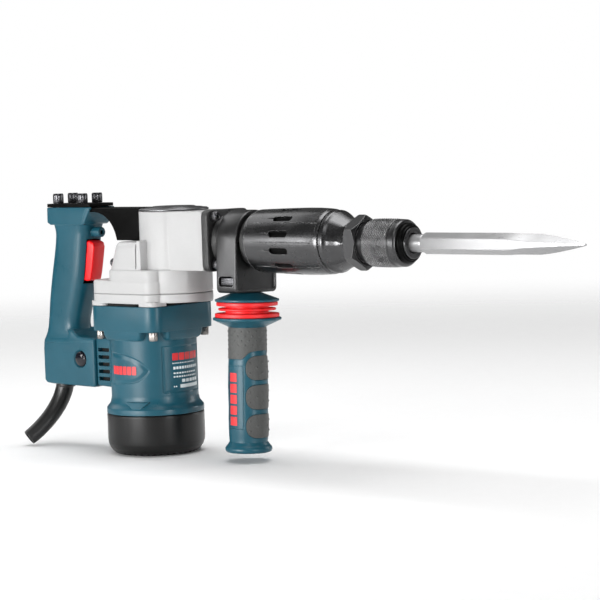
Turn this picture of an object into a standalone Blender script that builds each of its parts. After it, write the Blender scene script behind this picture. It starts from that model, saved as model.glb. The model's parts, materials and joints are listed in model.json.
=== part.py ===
"""Electric demolition hammer: motor upright, tool axis horizontal.

Frame: origin at the centre of the flat bottom of the motor's rear cover, +Z up the
motor axis, +X towards the bit, +Y to the tool's left. All sizes below are in millimetres.
"""
import math

import bmesh
import bpy
from mathutils import Vector

MM = 0.001
GAP = 0.3            # clearance that touching pieces keep
FACETS = 0.42        # share of the facets asked for on turned pieces

# ---- main sizes (mm)
TOOL_Z = 212.5       # height of the tool axis
BARREL_Z = 213.4     # centre of the barrel casting and its cover, just above the tool axis
CAP_R, CAP_TOP = 49.0, 41.0
MOTOR_R, MOTOR_BORE = 43.8, 39.5
COLLAR_HALF, COLLAR_R = 46.0, 14.0
COLLAR_Z0, COLLAR_Z1 = 124.5, 149.6
BOLT_X, BOLT_Y = 36.3, 37.0
CASE_Z0, CASE_SEAM, LEDGE_Z, CASE_Z1 = 152.6, 162.0, 186.0, 243.0
CASE_REAR, REAR_LEDGE = -43.6, 174.6
CRANK_X, CRANK_R = 34.9, 34.8
BLOCK_X1, BLOCK_HALF = 99.2, 29.0
FLANGE_X1 = 107.5
THROW = 12.0         # crank throw
PISTON_X, PISTON_R = 92.0, 13.0
BAND_X0, BAND_X1, BAND_R = 118.0, 143.0, 30.0
COVER_X0, COVER_X1 = 150.3, 243.7
HEX_X0, HEX_X1 = 269.0, 281.0
SLEEVE_X0, SLEEVE_X1, SLEEVE_R = 288.6, 327.5, 22.6
TIP_X = 519.0
HANDLE_X, SWING = 130.3, 1.8   # side handle station and its lean to the right
GUARD_X = -130.0     # where the lead's guard leaves the handle
TEETH_PINION, TEETH_GEAR = 6, 36

# ---- colours: name -> (rgb, roughness, metallic)
FINISH = {
    "teal": ((0.018, 0.085, 0.115), 0.38, 0.0),
    "white_paint": ((0.80, 0.80, 0.79), 0.35, 0.0),
    "black_gloss": ((0.012, 0.012, 0.013), 0.18, 0.0),
    "black_matt": ((0.015, 0.015, 0.016), 0.55, 0.0),
    "rubber": ((0.045, 0.05, 0.055), 0.7, 0.0),
    "red": ((0.62, 0.012, 0.016), 0.35, 0.0),
    "lid_grey": ((0.10, 0.10, 0.105), 0.4, 0.8),
    "steel": ((0.55, 0.55, 0.56), 0.28, 1.0),
    "dark_steel": ((0.07, 0.07, 0.075), 0.35, 1.0),
    "copper": ((0.72, 0.35, 0.2), 0.35, 1.0),
    "carbon": ((0.03, 0.03, 0.03), 0.6, 0.0),
}

for _o in list(bpy.data.objects):
    bpy.data.objects.remove(_o, do_unlink=True)
PARTS = bpy.data.collections.new("demolition_hammer")
CUTTERS = bpy.data.collections.new("cutters")
for _c in (PARTS, CUTTERS):
    bpy.context.scene.collection.children.link(_c)


# ---------------------------------------------------------------- helpers
def finish(name):
    """Principled material of one finish."""
    found = bpy.data.materials.get(name)
    if found:
        return found
    rgb, rough, metal = FINISH[name]
    m = bpy.data.materials.new(name)
    m.use_nodes = True
    b = m.node_tree.nodes["Principled BSDF"]
    b.inputs["Base Color"].default_value = (*rgb, 1.0)
    b.inputs["Roughness"].default_value = rough
    b.inputs["Metallic"].default_value = metal
    return m


def add(name, bm, look=None, at=(0, 0, 0), rot=(0, 0, 0), parent=None, smooth=40):
    """Make an object from a bmesh that is drawn in millimetres."""
    bmesh.ops.scale(bm, vec=(MM, MM, MM), verts=bm.verts)
    me = bpy.data.meshes.new(name)
    bm.to_mesh(me)
    bm.free()
    if smooth:
        me.shade_smooth()
        me.set_sharp_from_angle(angle=math.radians(smooth))
    ob = bpy.data.objects.new(name, me)
    ob.location = Vector(at) * MM
    ob.rotation_euler = rot
    ob.parent = parent
    if look:
        me.materials.append(finish(look))
        PARTS.objects.link(ob)
    else:
        CUTTERS.objects.link(ob)
        ob.hide_render = True
        ob.display_type = "WIRE"
    return ob


def empty(name, at, rot=(0, 0, 0), parent=None):
    """Empty that stands on a joint axis."""
    e = bpy.data.objects.new(name, None)
    e.location = Vector(at) * MM
    e.rotation_euler = rot
    e.parent = parent
    PARTS.objects.link(e)
    return e


def bevel(ob, width, segments=2, angle=40):
    m = ob.modifiers.new("edge", "BEVEL")
    m.width = width * MM
    m.segments = segments
    m.limit_method = "ANGLE"
    m.angle_limit = math.radians(angle)
    return ob


def boole(ob, other, how="DIFFERENCE"):
    m = ob.modifiers.new(how.lower(), "BOOLEAN")
    m.operation = how
    m.object = other
    return ob


def cut(ob, *others):
    for o in others:
        boole(ob, o)
    return ob


def join(ob, *others):
    for o in others:
        boole(ob, o, "UNION")
    return ob


def turned(name, profile, look=None, steps=48, ring=False, **kw):
    """Turn (radius, height) points about Z; the profile runs down its outer side."""
    bm = bmesh.new()
    vs = [bm.verts.new((r, 0, z)) for r, z in profile]
    for a, b in zip(vs, vs[1:]):
        bm.edges.new((a, b))
    if ring:
        bm.edges.new((vs[-1], vs[0]))
    ob = add(name, bm, look, smooth=0, **kw)
    s = ob.modifiers.new("turn", "SCREW")
    s.axis = "Z"
    s.angle = 2 * math.pi
    s.steps = s.render_steps = max(12, int(steps * FACETS / 4) * 4)
    s.use_merge_vertices = True
    s.merge_threshold = 0.00001
    s.use_smooth_shade = True
    return ob


def disc(name, r, z0, z1, look=None, steps=48, **kw):
    return turned(name, [(0, z1), (r, z1), (r, z0), (0, z0)], look, steps, **kw)


def tube(name, ro, ri, z0, z1, look=None, steps=48, **kw):
    return turned(name, [(ro, z1), (ro, z0), (ri, z0), (ri, z1)], look, steps, ring=True, **kw)


def box(name, lo, hi, look=None, **kw):
    bm = bmesh.new()
    bmesh.ops.create_cube(bm, size=1)
    lo, hi = Vector(lo), Vector(hi)
    bmesh.ops.scale(bm, vec=hi - lo, verts=bm.verts)
    bmesh.ops.translate(bm, vec=(lo + hi) / 2, verts=bm.verts)
    return add(name, bm, look, smooth=30, **kw)


def rounded(x0, x1, y0, y1, r, n=5, front=None):
    """Outline of a rectangle with round corners, counter-clockwise; front is the radius at x1."""
    f = r if front is None else front
    out = []
    for cx, cy, a0, q in ((x1 - f, y1 - f, 0, f), (x0 + r, y1 - r, 90, r), (x0 + r, y0 + r, 180, r),
                          (x1 - f, y0 + f, 270, f)):
        for i in range(n + 1):
            a = math.radians(a0 + 90 * i / n)
            out.append((cx + q * math.cos(a), cy + q * math.sin(a)))
    return out


def circle(cx, cy, r, n=48):
    return [(cx + r * math.cos(2 * math.pi * i / n), cy + r * math.sin(2 * math.pi * i / n)) for i in range(n)]


def prism(name, outline, h0, h1, look=None, axis="Z", **kw):
    """Extrude a closed outline; axis Z takes (x, y), axis Y takes (x, z), axis X takes (y, z)."""
    bm = bmesh.new()
    place = {"Z": lambda a, b, h: (a, b, h), "Y": lambda a, b, h: (a, h, b), "X": lambda a, b, h: (h, a, b)}[axis]
    face = bm.faces.new([bm.verts.new(place(a, b, h0)) for a, b in outline])
    got = bmesh.ops.extrude_face_region(bm, geom=[face])["geom"]
    step = Vector(place(0, 0, h1 - h0))
    bmesh.ops.translate(bm, vec=step, verts=[g for g in got if isinstance(g, bmesh.types.BMVert)])
    bmesh.ops.recalc_face_normals(bm, faces=bm.faces)
    return add(name, bm, look, smooth=30, **kw)


def skin(name, rings, look=None, smooth=40, **kw):
    """Loft a closed body through rings of equal point count."""
    bm = bmesh.new()
    rows = [[bm.verts.new(p) for p in ring] for ring in rings]
    n = len(rows[0])
    for a, b in zip(rows, rows[1:]):
        for i in range(n):
            bm.faces.new((a[i], a[(i + 1) % n], b[(i + 1) % n], b[i]))
    bm.faces.new(rows[0][::-1])
    bm.faces.new(rows[-1])
    bmesh.ops.triangulate(bm, faces=[f for f in bm.faces if len(f.verts) == 4])
    bmesh.ops.recalc_face_normals(bm, faces=bm.faces)
    return add(name, bm, look, smooth=smooth, **kw)


def pipe(name, points, radii, look, bore=0.0, sides=16):
    """Tube along a path; its radius may change, and a bore opens its far end."""
    pts = [Vector(p) for p in points]

    def rings(rads, path):
        out = []
        for i, p in enumerate(path):
            t = (path[min(i + 1, len(path) - 1)] - path[max(i - 1, 0)]).normalized()
            side = t.cross(Vector((0, 1, 0))).normalized()
            up = side.cross(t)
            out.append([p + rads[i] * (math.cos(a) * side + math.sin(a) * up)
                        for a in (2 * math.pi * k / sides for k in range(sides))])
        return out
    ob = skin(name, rings(radii, pts), look)
    if bore:
        tail = pts[-1] + (pts[-1] - pts[-2]).normalized() * 3
        path = pts[-4:] + [tail]
        cut(ob, skin(name + "_bore", rings([bore] * len(path), path)))
    return ob


def gear_outline(teeth, pitch_r, add_h, ded_h, thick, phase):
    """Stub teeth with straight sides: thick is the tooth width at the pitch line."""
    pts = []
    for i in range(teeth):
        mid = phase + 2 * math.pi * i / teeth
        for r, w in ((pitch_r - ded_h, thick * 1.25), (pitch_r + add_h, thick * 0.7)):
            half = w / 2 / r
            pts.append((r, mid - half))
        for r, w in ((pitch_r + add_h, thick * 0.7), (pitch_r - ded_h, thick * 1.25)):
            half = w / 2 / r
            pts.append((r, mid + half))
    return [(r * math.cos(a), r * math.sin(a)) for r, a in pts]


def cap_screw(name, at, rot, r, head, shank_r, shank, look="dark_steel", socket=True, parent=None):
    """Socket-head screw; the head stands on z = 0 and the shank goes down."""
    ob = turned(name, [(0, head), (r * 0.86, head), (r, head * 0.86), (r, 0), (shank_r, 0),
                       (shank_r, -shank), (0, -shank)], look, 20, at=at, rot=rot, parent=parent)
    if socket:
        cut(ob, prism(name + "_key", circle(0, 0, r * 0.52, 6), head * 0.45, head + 1,
                      at=at, rot=rot, parent=parent))
    return ob


ALONG = (0, math.pi / 2, 0)                 # local +Z points to +X
TOOL = dict(at=(0, 0, TOOL_Z), rot=ALONG)    # heights in a profile are X stations
CASTING = dict(at=(0, 0, BARREL_Z), rot=ALONG)


# ---------------------------------------------------------------- motor
def rear_cover():
    ob = turned("rear_cover", [
        (0, 8), (16, 8), (16, 25), (20, 25), (20, 10), (37, 10), (43, 16), (43, CAP_TOP), (CAP_R - 1, CAP_TOP),
        (CAP_R, CAP_TOP - 1), (CAP_R, 15), (48.6, 11), (47, 6.5), (44, 2.6), (41, 0.6), (39, 0), (0, 0)],
        "black_gloss", 64)
    for i in range(6):
        a = math.radians(60 * i)
        cut(ob, box("cap_vent_%d" % i, (26, -4.5, -1), (33, 4.5, 12), rot=(0, 0, a)))
    return ob


def motor_housing():
    ob = turned("motor_housing", [
        (MOTOR_R, 140), (MOTOR_R, 54), (44.5, 50), (CAP_R, 46.5), (CAP_R, CAP_TOP + GAP),
        (MOTOR_BORE, CAP_TOP + GAP), (MOTOR_BORE, 140)], "teal", 64, ring=True)
    collar = prism("collar", rounded(-COLLAR_HALF, COLLAR_HALF, -COLLAR_HALF, COLLAR_HALF, COLLAR_R, 5),
                   COLLAR_Z0, COLLAR_Z1)
    belly = [prism("collar_belly_%d" % i, rounded(-b, b, -c, c, 3, 3), 120, 130)
             for i, (b, c) in enumerate(((26, 45.9), (45.9, 26)))]
    arm = prism("housing_arm", [(-67, 64.5), (-36, 63), (-36, 113), (-67, 113)], -15.5, 15.5, axis="Y")
    join(ob, collar, *belly, bevel(arm, 2.5, 2, 60))
    bore = disc("motor_bore", MOTOR_BORE, 44, 170, steps=64)
    inner = prism("collar_inner", rounded(-42, 42, -42, 42, 11, 6), 146.5, 160)
    holes = [disc("collar_hole_%d%d" % (i, j), 3.2, 100, 160, at=(i * BOLT_X, j * BOLT_Y, 0), steps=16)
             for i in (-1, 1) for j in (-1, 1)]
    louvres = [box("louvre_%d" % i, (-63.5, -17, 70 + 7.4 * i), (-50, 17, 73.4 + 7.4 * i)) for i in range(5)]
    cut(ob, bore, inner, *holes, *louvres)
    return ob


def motor_inside():
    stator = tube("stator_core", 39.1, 25.2, 58, 108, "dark_steel", 48)
    cut(stator, *[box("stator_slot_%d" % i, (-6, 20, 50), (6, 33, 120), rot=(0, 0, math.radians(90 * i + 45)))
                  for i in range(4)])
    tube("rear_bearing", 15.6, 5.3, 10, 19, "steel", 32)
    tube("front_bearing", 14.6, 5.3, 153, 161.5, "steel", 32)
    for side, y in (("left", 1), ("right", -1)):
        turn = (0, 0, math.radians(90 - 90 * y))
        join(box("brush_" + side, (-6, 16.5, 41), (6, 38.6, 51), "carbon", rot=turn),
             box("brush_tip_" + side, (-3.3, 13.4, 42.9), (3.3, 20, 49.1), rot=turn))
    shaft = turned("armature_shaft", [(0, 164), (3.4, 164), (3.4, 162), (5, 161.8), (5, 10.5), (0, 10.5)], "steel", 24)
    join(shaft, prism("pinion", gear_outline(TEETH_PINION, PITCH_P, 0.8, 1.3, 1.6, math.pi / TEETH_PINION), 163, 174.5))
    core = tube("armature_core", 24.4, 5.3, 60, 106, "dark_steel", 36)
    cut(core, *[box("core_slot_%d" % i, (22, -1.4, 55), (27, 1.4, 112), rot=(0, 0, math.radians(45 * i + 22)))
                for i in range(8)])
    tube("commutator", 13, 5.3, 36, 52, "copper", 32)
    fan = tube("fan", 34, 5.3, 122, 125, "black_matt", 48)
    blades = [box("fan_blade_%d" % i, (13, -1, 124), (33, 1, 134), rot=(0, 0, math.radians(40 * i))) for i in range(9)]
    join(fan, *blades)


# gear pitch radii from the tooth counts and the shaft distance
PITCH_P = CRANK_X * TEETH_PINION / (TEETH_PINION + TEETH_GEAR)
PITCH_G = CRANK_X - PITCH_P


# ---------------------------------------------------------------- gear case
def case_outline(grow=0.0):
    """Rounded square over the motor joined with the round gear chamber in front of it."""
    return rounded(CASE_REAR - grow, COLLAR_HALF + grow, -COLLAR_HALF - grow, COLLAR_HALF + grow,
                   COLLAR_R + grow, 5)


def drum_outline():
    """Round crank chamber whose flat-sided front reaches the barrel flange."""
    a0 = math.asin(BLOCK_HALF / CRANK_R)
    n = 20
    arc = [(CRANK_X + CRANK_R * math.cos(a0 + (2 * math.pi - 2 * a0) * i / n),
            CRANK_R * math.sin(a0 + (2 * math.pi - 2 * a0) * i / n)) for i in range(n + 1)]
    return arc + [(BLOCK_X1, -BLOCK_HALF), (BLOCK_X1, BLOCK_HALF)]


def gear_case_base():
    ob = prism("gear_case_base", case_outline(), CASE_Z0, CASE_SEAM - GAP / 2, "white_paint")
    join(ob, disc("base_round", 36.5, CASE_Z0 + 0.6, CASE_SEAM - GAP / 2, at=(CRANK_X, 0, 0), steps=64))
    for i in (-1, 1):
        for j in (-1, 1):
            pad = prism("pad_%d%d" % (i, j), rounded(*((CASE_REAR + 0.5, -22) if i < 0 else (22, 45.5)),
                                                     min(j * 22, j * 45.5), max(j * 22, j * 45.5), 7, 4),
                        COLLAR_Z1 + GAP, CASE_Z0 + 2)
            join(ob, pad)
    cut(ob, disc("front_seat", 14.9, 140, 152.9 + 20, steps=32),
        disc("crank_seat", 8.3, 140, 170, at=(CRANK_X, 0, 0), steps=32),
        *[disc("base_hole_%d%d" % (i, j), 3.2, 140, 170, at=(i * BOLT_X, j * BOLT_Y, 0), steps=16)
          for i in (-1, 1) for j in (-1, 1)])
    return ob


def baffle():
    ob = prism("air_baffle", rounded(-42, 43.5, -21, 21, 3, 3), COLLAR_Z1 + GAP, CASE_Z0 - GAP, "black_matt")
    join(ob, prism("baffle_cross", rounded(-21, 21, -43.5, 43.5, 3, 3), COLLAR_Z1 + GAP + 0.01, CASE_Z0 - GAP - 0.01))
    cut(ob, disc("baffle_eye", 19, 140, 160, steps=32), disc("baffle_crank", 9.5, 140, 160, at=(CRANK_X, 0, 0), steps=24))
    return ob


def crank_case():
    z0 = CASE_SEAM + GAP / 2
    ob = prism("crank_case", case_outline(), z0, REAR_LEDGE, "white_paint")
    parts = [
        disc("case_round", 36.5, z0 + 0.01, LEDGE_Z, at=(CRANK_X, 0, 0), steps=64),
        prism("case_step", rounded(-20, COLLAR_HALF - 1, -COLLAR_HALF + 0.4, COLLAR_HALF - 0.4, 12, 6), 170, LEDGE_Z - 0.1),
        prism("case_drum", drum_outline(), LEDGE_Z - 0.6, CASE_Z1),
    ]
    rear = []
    for z, x, half, r in ((172, -27.5, 44.5, 22), (182, -25.5, 44.5, 22), (198, -20.5, 44, 22), (207, -17.5, 44, 22),
                          (211.5, -15.5, 42.5, 21), (213.2, -13, 40, 20)):
        rear.append([(a, b, z) for a, b in rounded(x, 26, -half, half, r, 5, 3)])
    join(ob, *parts, skin("case_wing", rear))
    chamber = disc("gear_chamber", 32.6, z0 - 5, 176.6, at=(CRANK_X, 0, 0), steps=64)
    well = disc("pinion_well", 8.2, z0 - 5, 176.59, steps=32)
    crank = disc("crank_chamber", 28.5, 176, CASE_Z1 + 5, at=(CRANK_X, 0, 0), steps=64)
    way = disc("piston_way", 17.6, 50, 110, steps=40, **TOOL)
    bolts = [disc("block_hole_%d%d" % (i, j), 2.9, 88, 110, at=(0, i * 21.3, 214.7 + j * 23.2), rot=ALONG, steps=16)
             for i in (-1, 1) for j in (-1, 1)]
    screws = [disc("wing_hole_%d" % i, 2.3, -40, -12, at=(0, i * 26, 192), rot=ALONG, steps=16) for i in (-1, 1)]
    cut(ob, chamber, well, crank, way, *bolts, *screws)
    return ob


def lid():
    turned("crank_lid", [(0, 247.6), (20, 247.6), (23.5, 246.6), (28, 246.2), (33, 245.9), (CRANK_R, 245.0),
                         (CRANK_R, CASE_Z1 + GAP), (28.2, CASE_Z1 + GAP), (28.2, 240), (25, 240), (25, 243.5),
                         (0, 243.5)], "lid_grey", 64, at=(CRANK_X, 0, 0))


def crank_train():
    hub = empty("crank_axis", (CRANK_X, 0, 0))
    turned("crankshaft", [(0, 200), (23, 200), (23, 180), (9, 179), (8, 176), (8, 153.2), (0, 153.2)],
           "steel", 48, parent=hub)
    gear = prism("drive_gear", gear_outline(TEETH_GEAR, PITCH_G, 0.8, 1.3, 1.6, math.pi), 164, 173.5,
                 "steel", parent=hub)
    cut(gear, disc("gear_eye", 8.3, 150, 180, parent=hub, steps=32))
    # piston, wrist pin, connecting rod and crank pin move as one; the pin stands just above the crank disc
    pin_x = CRANK_X + THROW
    rod = disc("connecting_rod", 9, TOOL_Z - 5, TOOL_Z + 5, "steel", 32, at=(pin_x, 0, 0))
    pin = disc("crank_pin", 5, 200 + GAP, 222, steps=24, at=(pin_x, 0, 0))
    bar = box("rod_bar", (pin_x + 7.5, -4, TOOL_Z - 4), (PISTON_X - 4.8, 4, TOOL_Z + 4))
    eye = disc("rod_eye", 7, TOOL_Z - 4.5, TOOL_Z + 4.5, at=(PISTON_X, 0, 0), steps=24)
    join(rod, bar, eye, pin)
    cut(rod, disc("rod_hole", 3.8, TOOL_Z - 9, TOOL_Z + 9, at=(PISTON_X, 0, 0), steps=20))
    piston = turned("piston", [(0, PISTON_X + 22), (PISTON_R - 1, PISTON_X + 22), (PISTON_R, PISTON_X + 21),
                               (PISTON_R, PISTON_X - 9), (0, PISTON_X - 9)], "steel", 40, **TOOL)
    cut(piston, box("piston_fork", (PISTON_X - 12, -9, TOOL_Z - 5.2), (PISTON_X + 9, 9, TOOL_Z + 5.2)),
        disc("piston_pin_way", 3.8, TOOL_Z - 20, TOOL_Z + 20, at=(PISTON_X, 0, 0), steps=20))
    disc("wrist_pin", 3.5, TOOL_Z - 11.5, TOOL_Z + 11.5, "steel", 20, at=(PISTON_X, 0, 0))


# ---------------------------------------------------------------- barrel
def barrel():
    ob = prism("barrel", rounded(-30.5, 30.5, 184.5, 244.2, 7, 5), BLOCK_X1 + GAP, FLANGE_X1, "black_matt", axis="X")
    neck = turned("barrel_neck", [(0, 239), (23.4, 239), (23.4, 149.6), (26.5, 149.6), (26.5, 145), (23.4, 145),
                                  (23.4, BLOCK_X1 + 3), (0, BLOCK_X1 + 3)], steps=60, **CASTING)
    join(ob, neck)
    bore = disc("barrel_bore", 16.2, 80, 260, steps=54, **TOOL)
    holes = [disc("flange_hole_%d%d" % (i, j), 2.9, 90, 112, at=(0, i * 21.3, 214.7 + j * 23.2), rot=ALONG, steps=16)
             for i in (-1, 1) for j in (-1, 1)]
    cut(ob, bore, *holes)
    tube("cylinder_liner", 15.9, PISTON_R + 0.3, 82, 234, "steel", 48, **TOOL)
    return ob


def barrel_cover():
    outer = [(30.0, COVER_X1), (30.9, 238), (31.6, 225), (31.7, 212), (31.3, 190), (30.7, 168), (30.1, COVER_X0)]
    ob = turned("barrel_cover", outer + [(26.8, COVER_X0), (26.8, COVER_X1)], "black_gloss", 64, ring=True, **CASTING)
    for i in range(12):
        t = math.radians(14.5 + 30 * i)
        s = prism("cover_slot_%d" % i, rounded(185, 208.4, -3.1, 3.1, 2.9, 2), 22, 36,
                  at=(0, 0, BARREL_Z), rot=(t - math.pi / 2, 0, 0))
        cut(ob, s)
    return ob


def nose():
    """Tapered front of the barrel: its rear follows the cover, its front the tool axis."""
    drop = TOOL_Z - BARREL_Z
    rings = []
    for x, r, k in ((COVER_X1 + GAP, 29.3, 0), (249, 29.5, 0.0), (256, 26.6, 0.45), (262.5, 23.0, 0.9), (268.4, 21.9, 1)):
        rings.append([(x, r * math.cos(a), BARREL_Z + drop * k + r * math.sin(a))
                      for a in (2 * math.pi * i / 28 for i in range(28))])
    ob = skin("nose", rings, "black_gloss")
    cut(ob, disc("nose_bore", 16.2, 240, 280, steps=48, **TOOL))
    return ob


def chuck():
    flange = turned("hex_flange", [
        (21.5, HEX_X0), (14.2, HEX_X0), (14.2, HEX_X1 + 6.8), (19, HEX_X1 + 6.8), (19, HEX_X1), (21.5, HEX_X1)],
        "dark_steel", 48, ring=True, **TOOL)
    flange.data.flip_normals()
    hexa = prism("hex_body", [(z, y + TOOL_Z) for y, z in circle(0, 0, 26.0, 6)], HEX_X0 + 0.01, HEX_X1 - 0.01,
                 axis="X")
    hole = disc("hex_hole", 14.2, 260, 300, steps=48, **TOOL)
    join(flange, hexa)
    cut(flange, hole)
    sleeve = turned("chuck_sleeve", [
        (19.6, SLEEVE_X1), (21.1, SLEEVE_X1 - 1.2), (21.6, SLEEVE_X1 - 6.5), (20.9, SLEEVE_X1 - 7.5), (22.0, SLEEVE_X1 - 9),
        (SLEEVE_R, SLEEVE_X1 - 10), (SLEEVE_R, SLEEVE_X0 + 2), (21.8, SLEEVE_X0), (19.6, SLEEVE_X0),
        (19.6, SLEEVE_X0 + 24), (14.8, SLEEVE_X0 + 26), (14.8, SLEEVE_X1)], "dark_steel", 72, ring=True, **TOOL)
    turned("tool_holder", [(14.4, 334.6), (14.4, HEX_X1 + 7.4), (13.9, HEX_X1 + 7.4), (13.9, 270), (9.0, 270), (9.0, 334.6)],
           "dark_steel", 48, ring=True, **TOOL)
    turned("dust_ring", [(18.3, 330.2), (18.3, SLEEVE_X1 + GAP), (14.8, SLEEVE_X1 + GAP), (14.8, 333), (16.6, 333)],
           "black_matt", 48, ring=True, **TOOL)
    spring_coil()
    return sleeve


def spring_coil():
    """Light spring between the hex flange's hub and the sleeve's inner step."""
    turns, per = 3, 10
    x0, x1 = HEX_X1 + 8.5, SLEEVE_X0 + 22.5
    cu = bpy.data.curves.new("sleeve_spring", "CURVE")
    cu.dimensions = "3D"
    cu.bevel_depth = 0.8 * MM
    cu.bevel_resolution = 1
    cu.use_fill_caps = True
    sp = cu.splines.new("POLY")
    n = turns * per
    sp.points.add(n)
    for i in range(n + 1):
        a = 2 * math.pi * i / per
        sp.points[i].co = ((x0 + (x1 - x0) * i / n) * MM, 17.0 * math.cos(a) * MM, (TOOL_Z + 17.0 * math.sin(a)) * MM, 1)
    cu.materials.append(finish("steel"))
    PARTS.objects.link(bpy.data.objects.new("sleeve_spring", cu))


def chisel():
    def hexring(x, r, dz=0.0, turn=30):
        return [(x, r * math.cos(math.radians(60 * i + turn)), TOOL_Z + dz + r * math.sin(math.radians(60 * i + turn)))
                for i in range(6)]

    def sect(x, hy, hz, cut_=0.35):
        """Flat-sided section with six points that narrows to four sides."""
        return [(x, hy, TOOL_Z + hz * cut_), (x, 0, TOOL_Z + hz), (x, -hy, TOOL_Z + hz * cut_),
                (x, -hy, TOOL_Z - hz * cut_), (x, 0, TOOL_Z - hz), (x, hy, TOOL_Z - hz * cut_)]
    rings = [hexring(345.5, 8.2), hexring(348, 9.9), hexring(440, 9.9), sect(452, 8.4, 9.0, 0.5),
             sect(474, 7.6, 9.4, 0.3), sect(500, 4.2, 5.2, 0.2), sect(514, 1.9, 2.4, 0.3), sect(TIP_X, 0.7, 0.8, 0.5)]
    ob = skin("chisel", rings, "steel", smooth=0)
    shank = turned("chisel_shank", [(0, 347), (8.2, 347), (8.2, 322), (8.7, 320), (8.7, 290), (8.0, 288), (0, 288)],
                   steps=24, **TOOL)
    join(ob, shank)
    return ob


def hammer_train():
    turned("impact_bolt", [(0, 287.5), (7.5, 287.5), (8.0, 286), (8.0, 268), (12.2, 262), (12.2, 246),
                           (9, 243), (0, 243)], "steel", 32, **TOOL)
    turned("striker", [(0, 212), (7.5, 212), (8.5, 210.5), (8.5, 186), (12.9, 182), (12.9, 152), (11, 150), (0, 150)],
           "steel", 32, **TOOL)


# ---------------------------------------------------------------- side handle
def side_handle():
    """Everything below leans by SWING about the barrel centre line."""
    hub = empty("barrel_swivel_axis", (HANDLE_X, 0, BARREL_Z), (math.radians(SWING) * -1, 0, 0))
    half = (BAND_X1 - BAND_X0) / 2
    low = 163.6 - BARREL_Z
    outline = [(BAND_R * math.cos(math.radians(a)), BAND_R * math.sin(math.radians(a))) for a in range(0, 181, 15)]
    outline += [(-BAND_R, low + 4), (-BAND_R + 1.2, low + 1.2), (-BAND_R + 4, low), (BAND_R - 4, low),
                (BAND_R - 1.2, low + 1.2), (BAND_R, low + 4)]
    band = prism("clamp_band", outline, -half, half, "black_matt", axis="X", parent=hub)
    cut(bevel(band, 1.2, 1, 50), disc("band_eye", 23.75, -30, 30, rot=ALONG, parent=hub, steps=56),
        prism("nut_slot", rounded(-half + 2.5, half - 2.5, low + 6.5, low + 16, 2.5, 3), -40, 40, axis="Y", parent=hub),
        disc("stud_way", 6.2, low - 5, low + 12, parent=hub, steps=24))
    nut = prism("clamp_nut", rounded(-8.6, 8.6, -28.6, 28.6, 2, 3), low + 7.2, low + 15.2, "dark_steel", parent=hub)
    join(nut, disc("nut_stud", 5, low - 36, low + 10, parent=hub, steps=24))

    grip = empty("side_grip_axis", (0, 0, low), parent=hub)
    turned("upper_flange", [(15, -GAP), (17, -1.2), (31.2, -6.6), (31.2, -8.2), (30.7, -8.7), (5.4, -8.7), (5.4, -GAP)],
           "teal", 56, ring=True, parent=grip)
    turned("vibration_bellows", [
        (28.7, -9.0), (29.8, -9.8), (29.8, -12.4), (29.3, -12.9), (21, -12.9), (21, -15.1), (27.4, -15.1), (28, -15.7),
        (28, -16.7), (27.4, -17.3), (21, -17.3), (21, -20.1), (30.7, -20.1), (31.3, -20.7), (31.3, -23.4), (30.7, -24.0),
        (5.4, -24.0), (5.4, -9.0)], "red", 56, ring=True, parent=grip)
    turned("side_grip", [
        (0, -39.5), (5.4, -39.5), (5.4, -24.3), (32.8, -24.3), (33.2, -24.8), (33.2, -26.3), (32.8, -26.7), (19.2, -33.0),
        (18.0, -33.2), (17.6, -33.2), (17.6, -145.4), (19.4, -145.6), (20.2, -147.2), (21.9, -149), (22.9, -150.8), (22.9, -152.4),
        (21.2, -155), (0, -155)], "teal", 48, parent=grip)
    turned("grip_rubber", [(18.2, -33.5), (18.5, -36), (18.6, -58), (19.3, -70), (19.8, -90), (19.5, -120), (19.6, -140), (18.9, -145.1),
                           (17.9, -145.1), (17.9, -33.5)], "rubber", 48, ring=True, parent=grip)


# ---------------------------------------------------------------- rear handle
def rear_arm():
    pts = [(-124.4, 246.2), (-124.4, 242.4), (-63, 242.2), (-56.5, 241), (-49, 238), (-42.8, 233.5), (-38, 228),
           (-34.2, 221), (-31.8, 213.5), (14, 213.5), (14, 246.2)]
    ob = prism("rear_arm", pts, -15, 15, "black_matt", axis="Y")
    bevel(ob, 1.0, 1, 60)
    cut(ob, disc("arm_seat", 35.2, 190, 260, at=(CRANK_X, 0, 0), steps=64),
        *[disc("arm_hole_%d%d" % (i, j), 3.1, 230, 260, at=(-101.5 + 17.8 * i, 10.5 * j, 0), steps=16)
          for i in (-1, 1) for j in (-1, 1)])
    return ob


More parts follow.
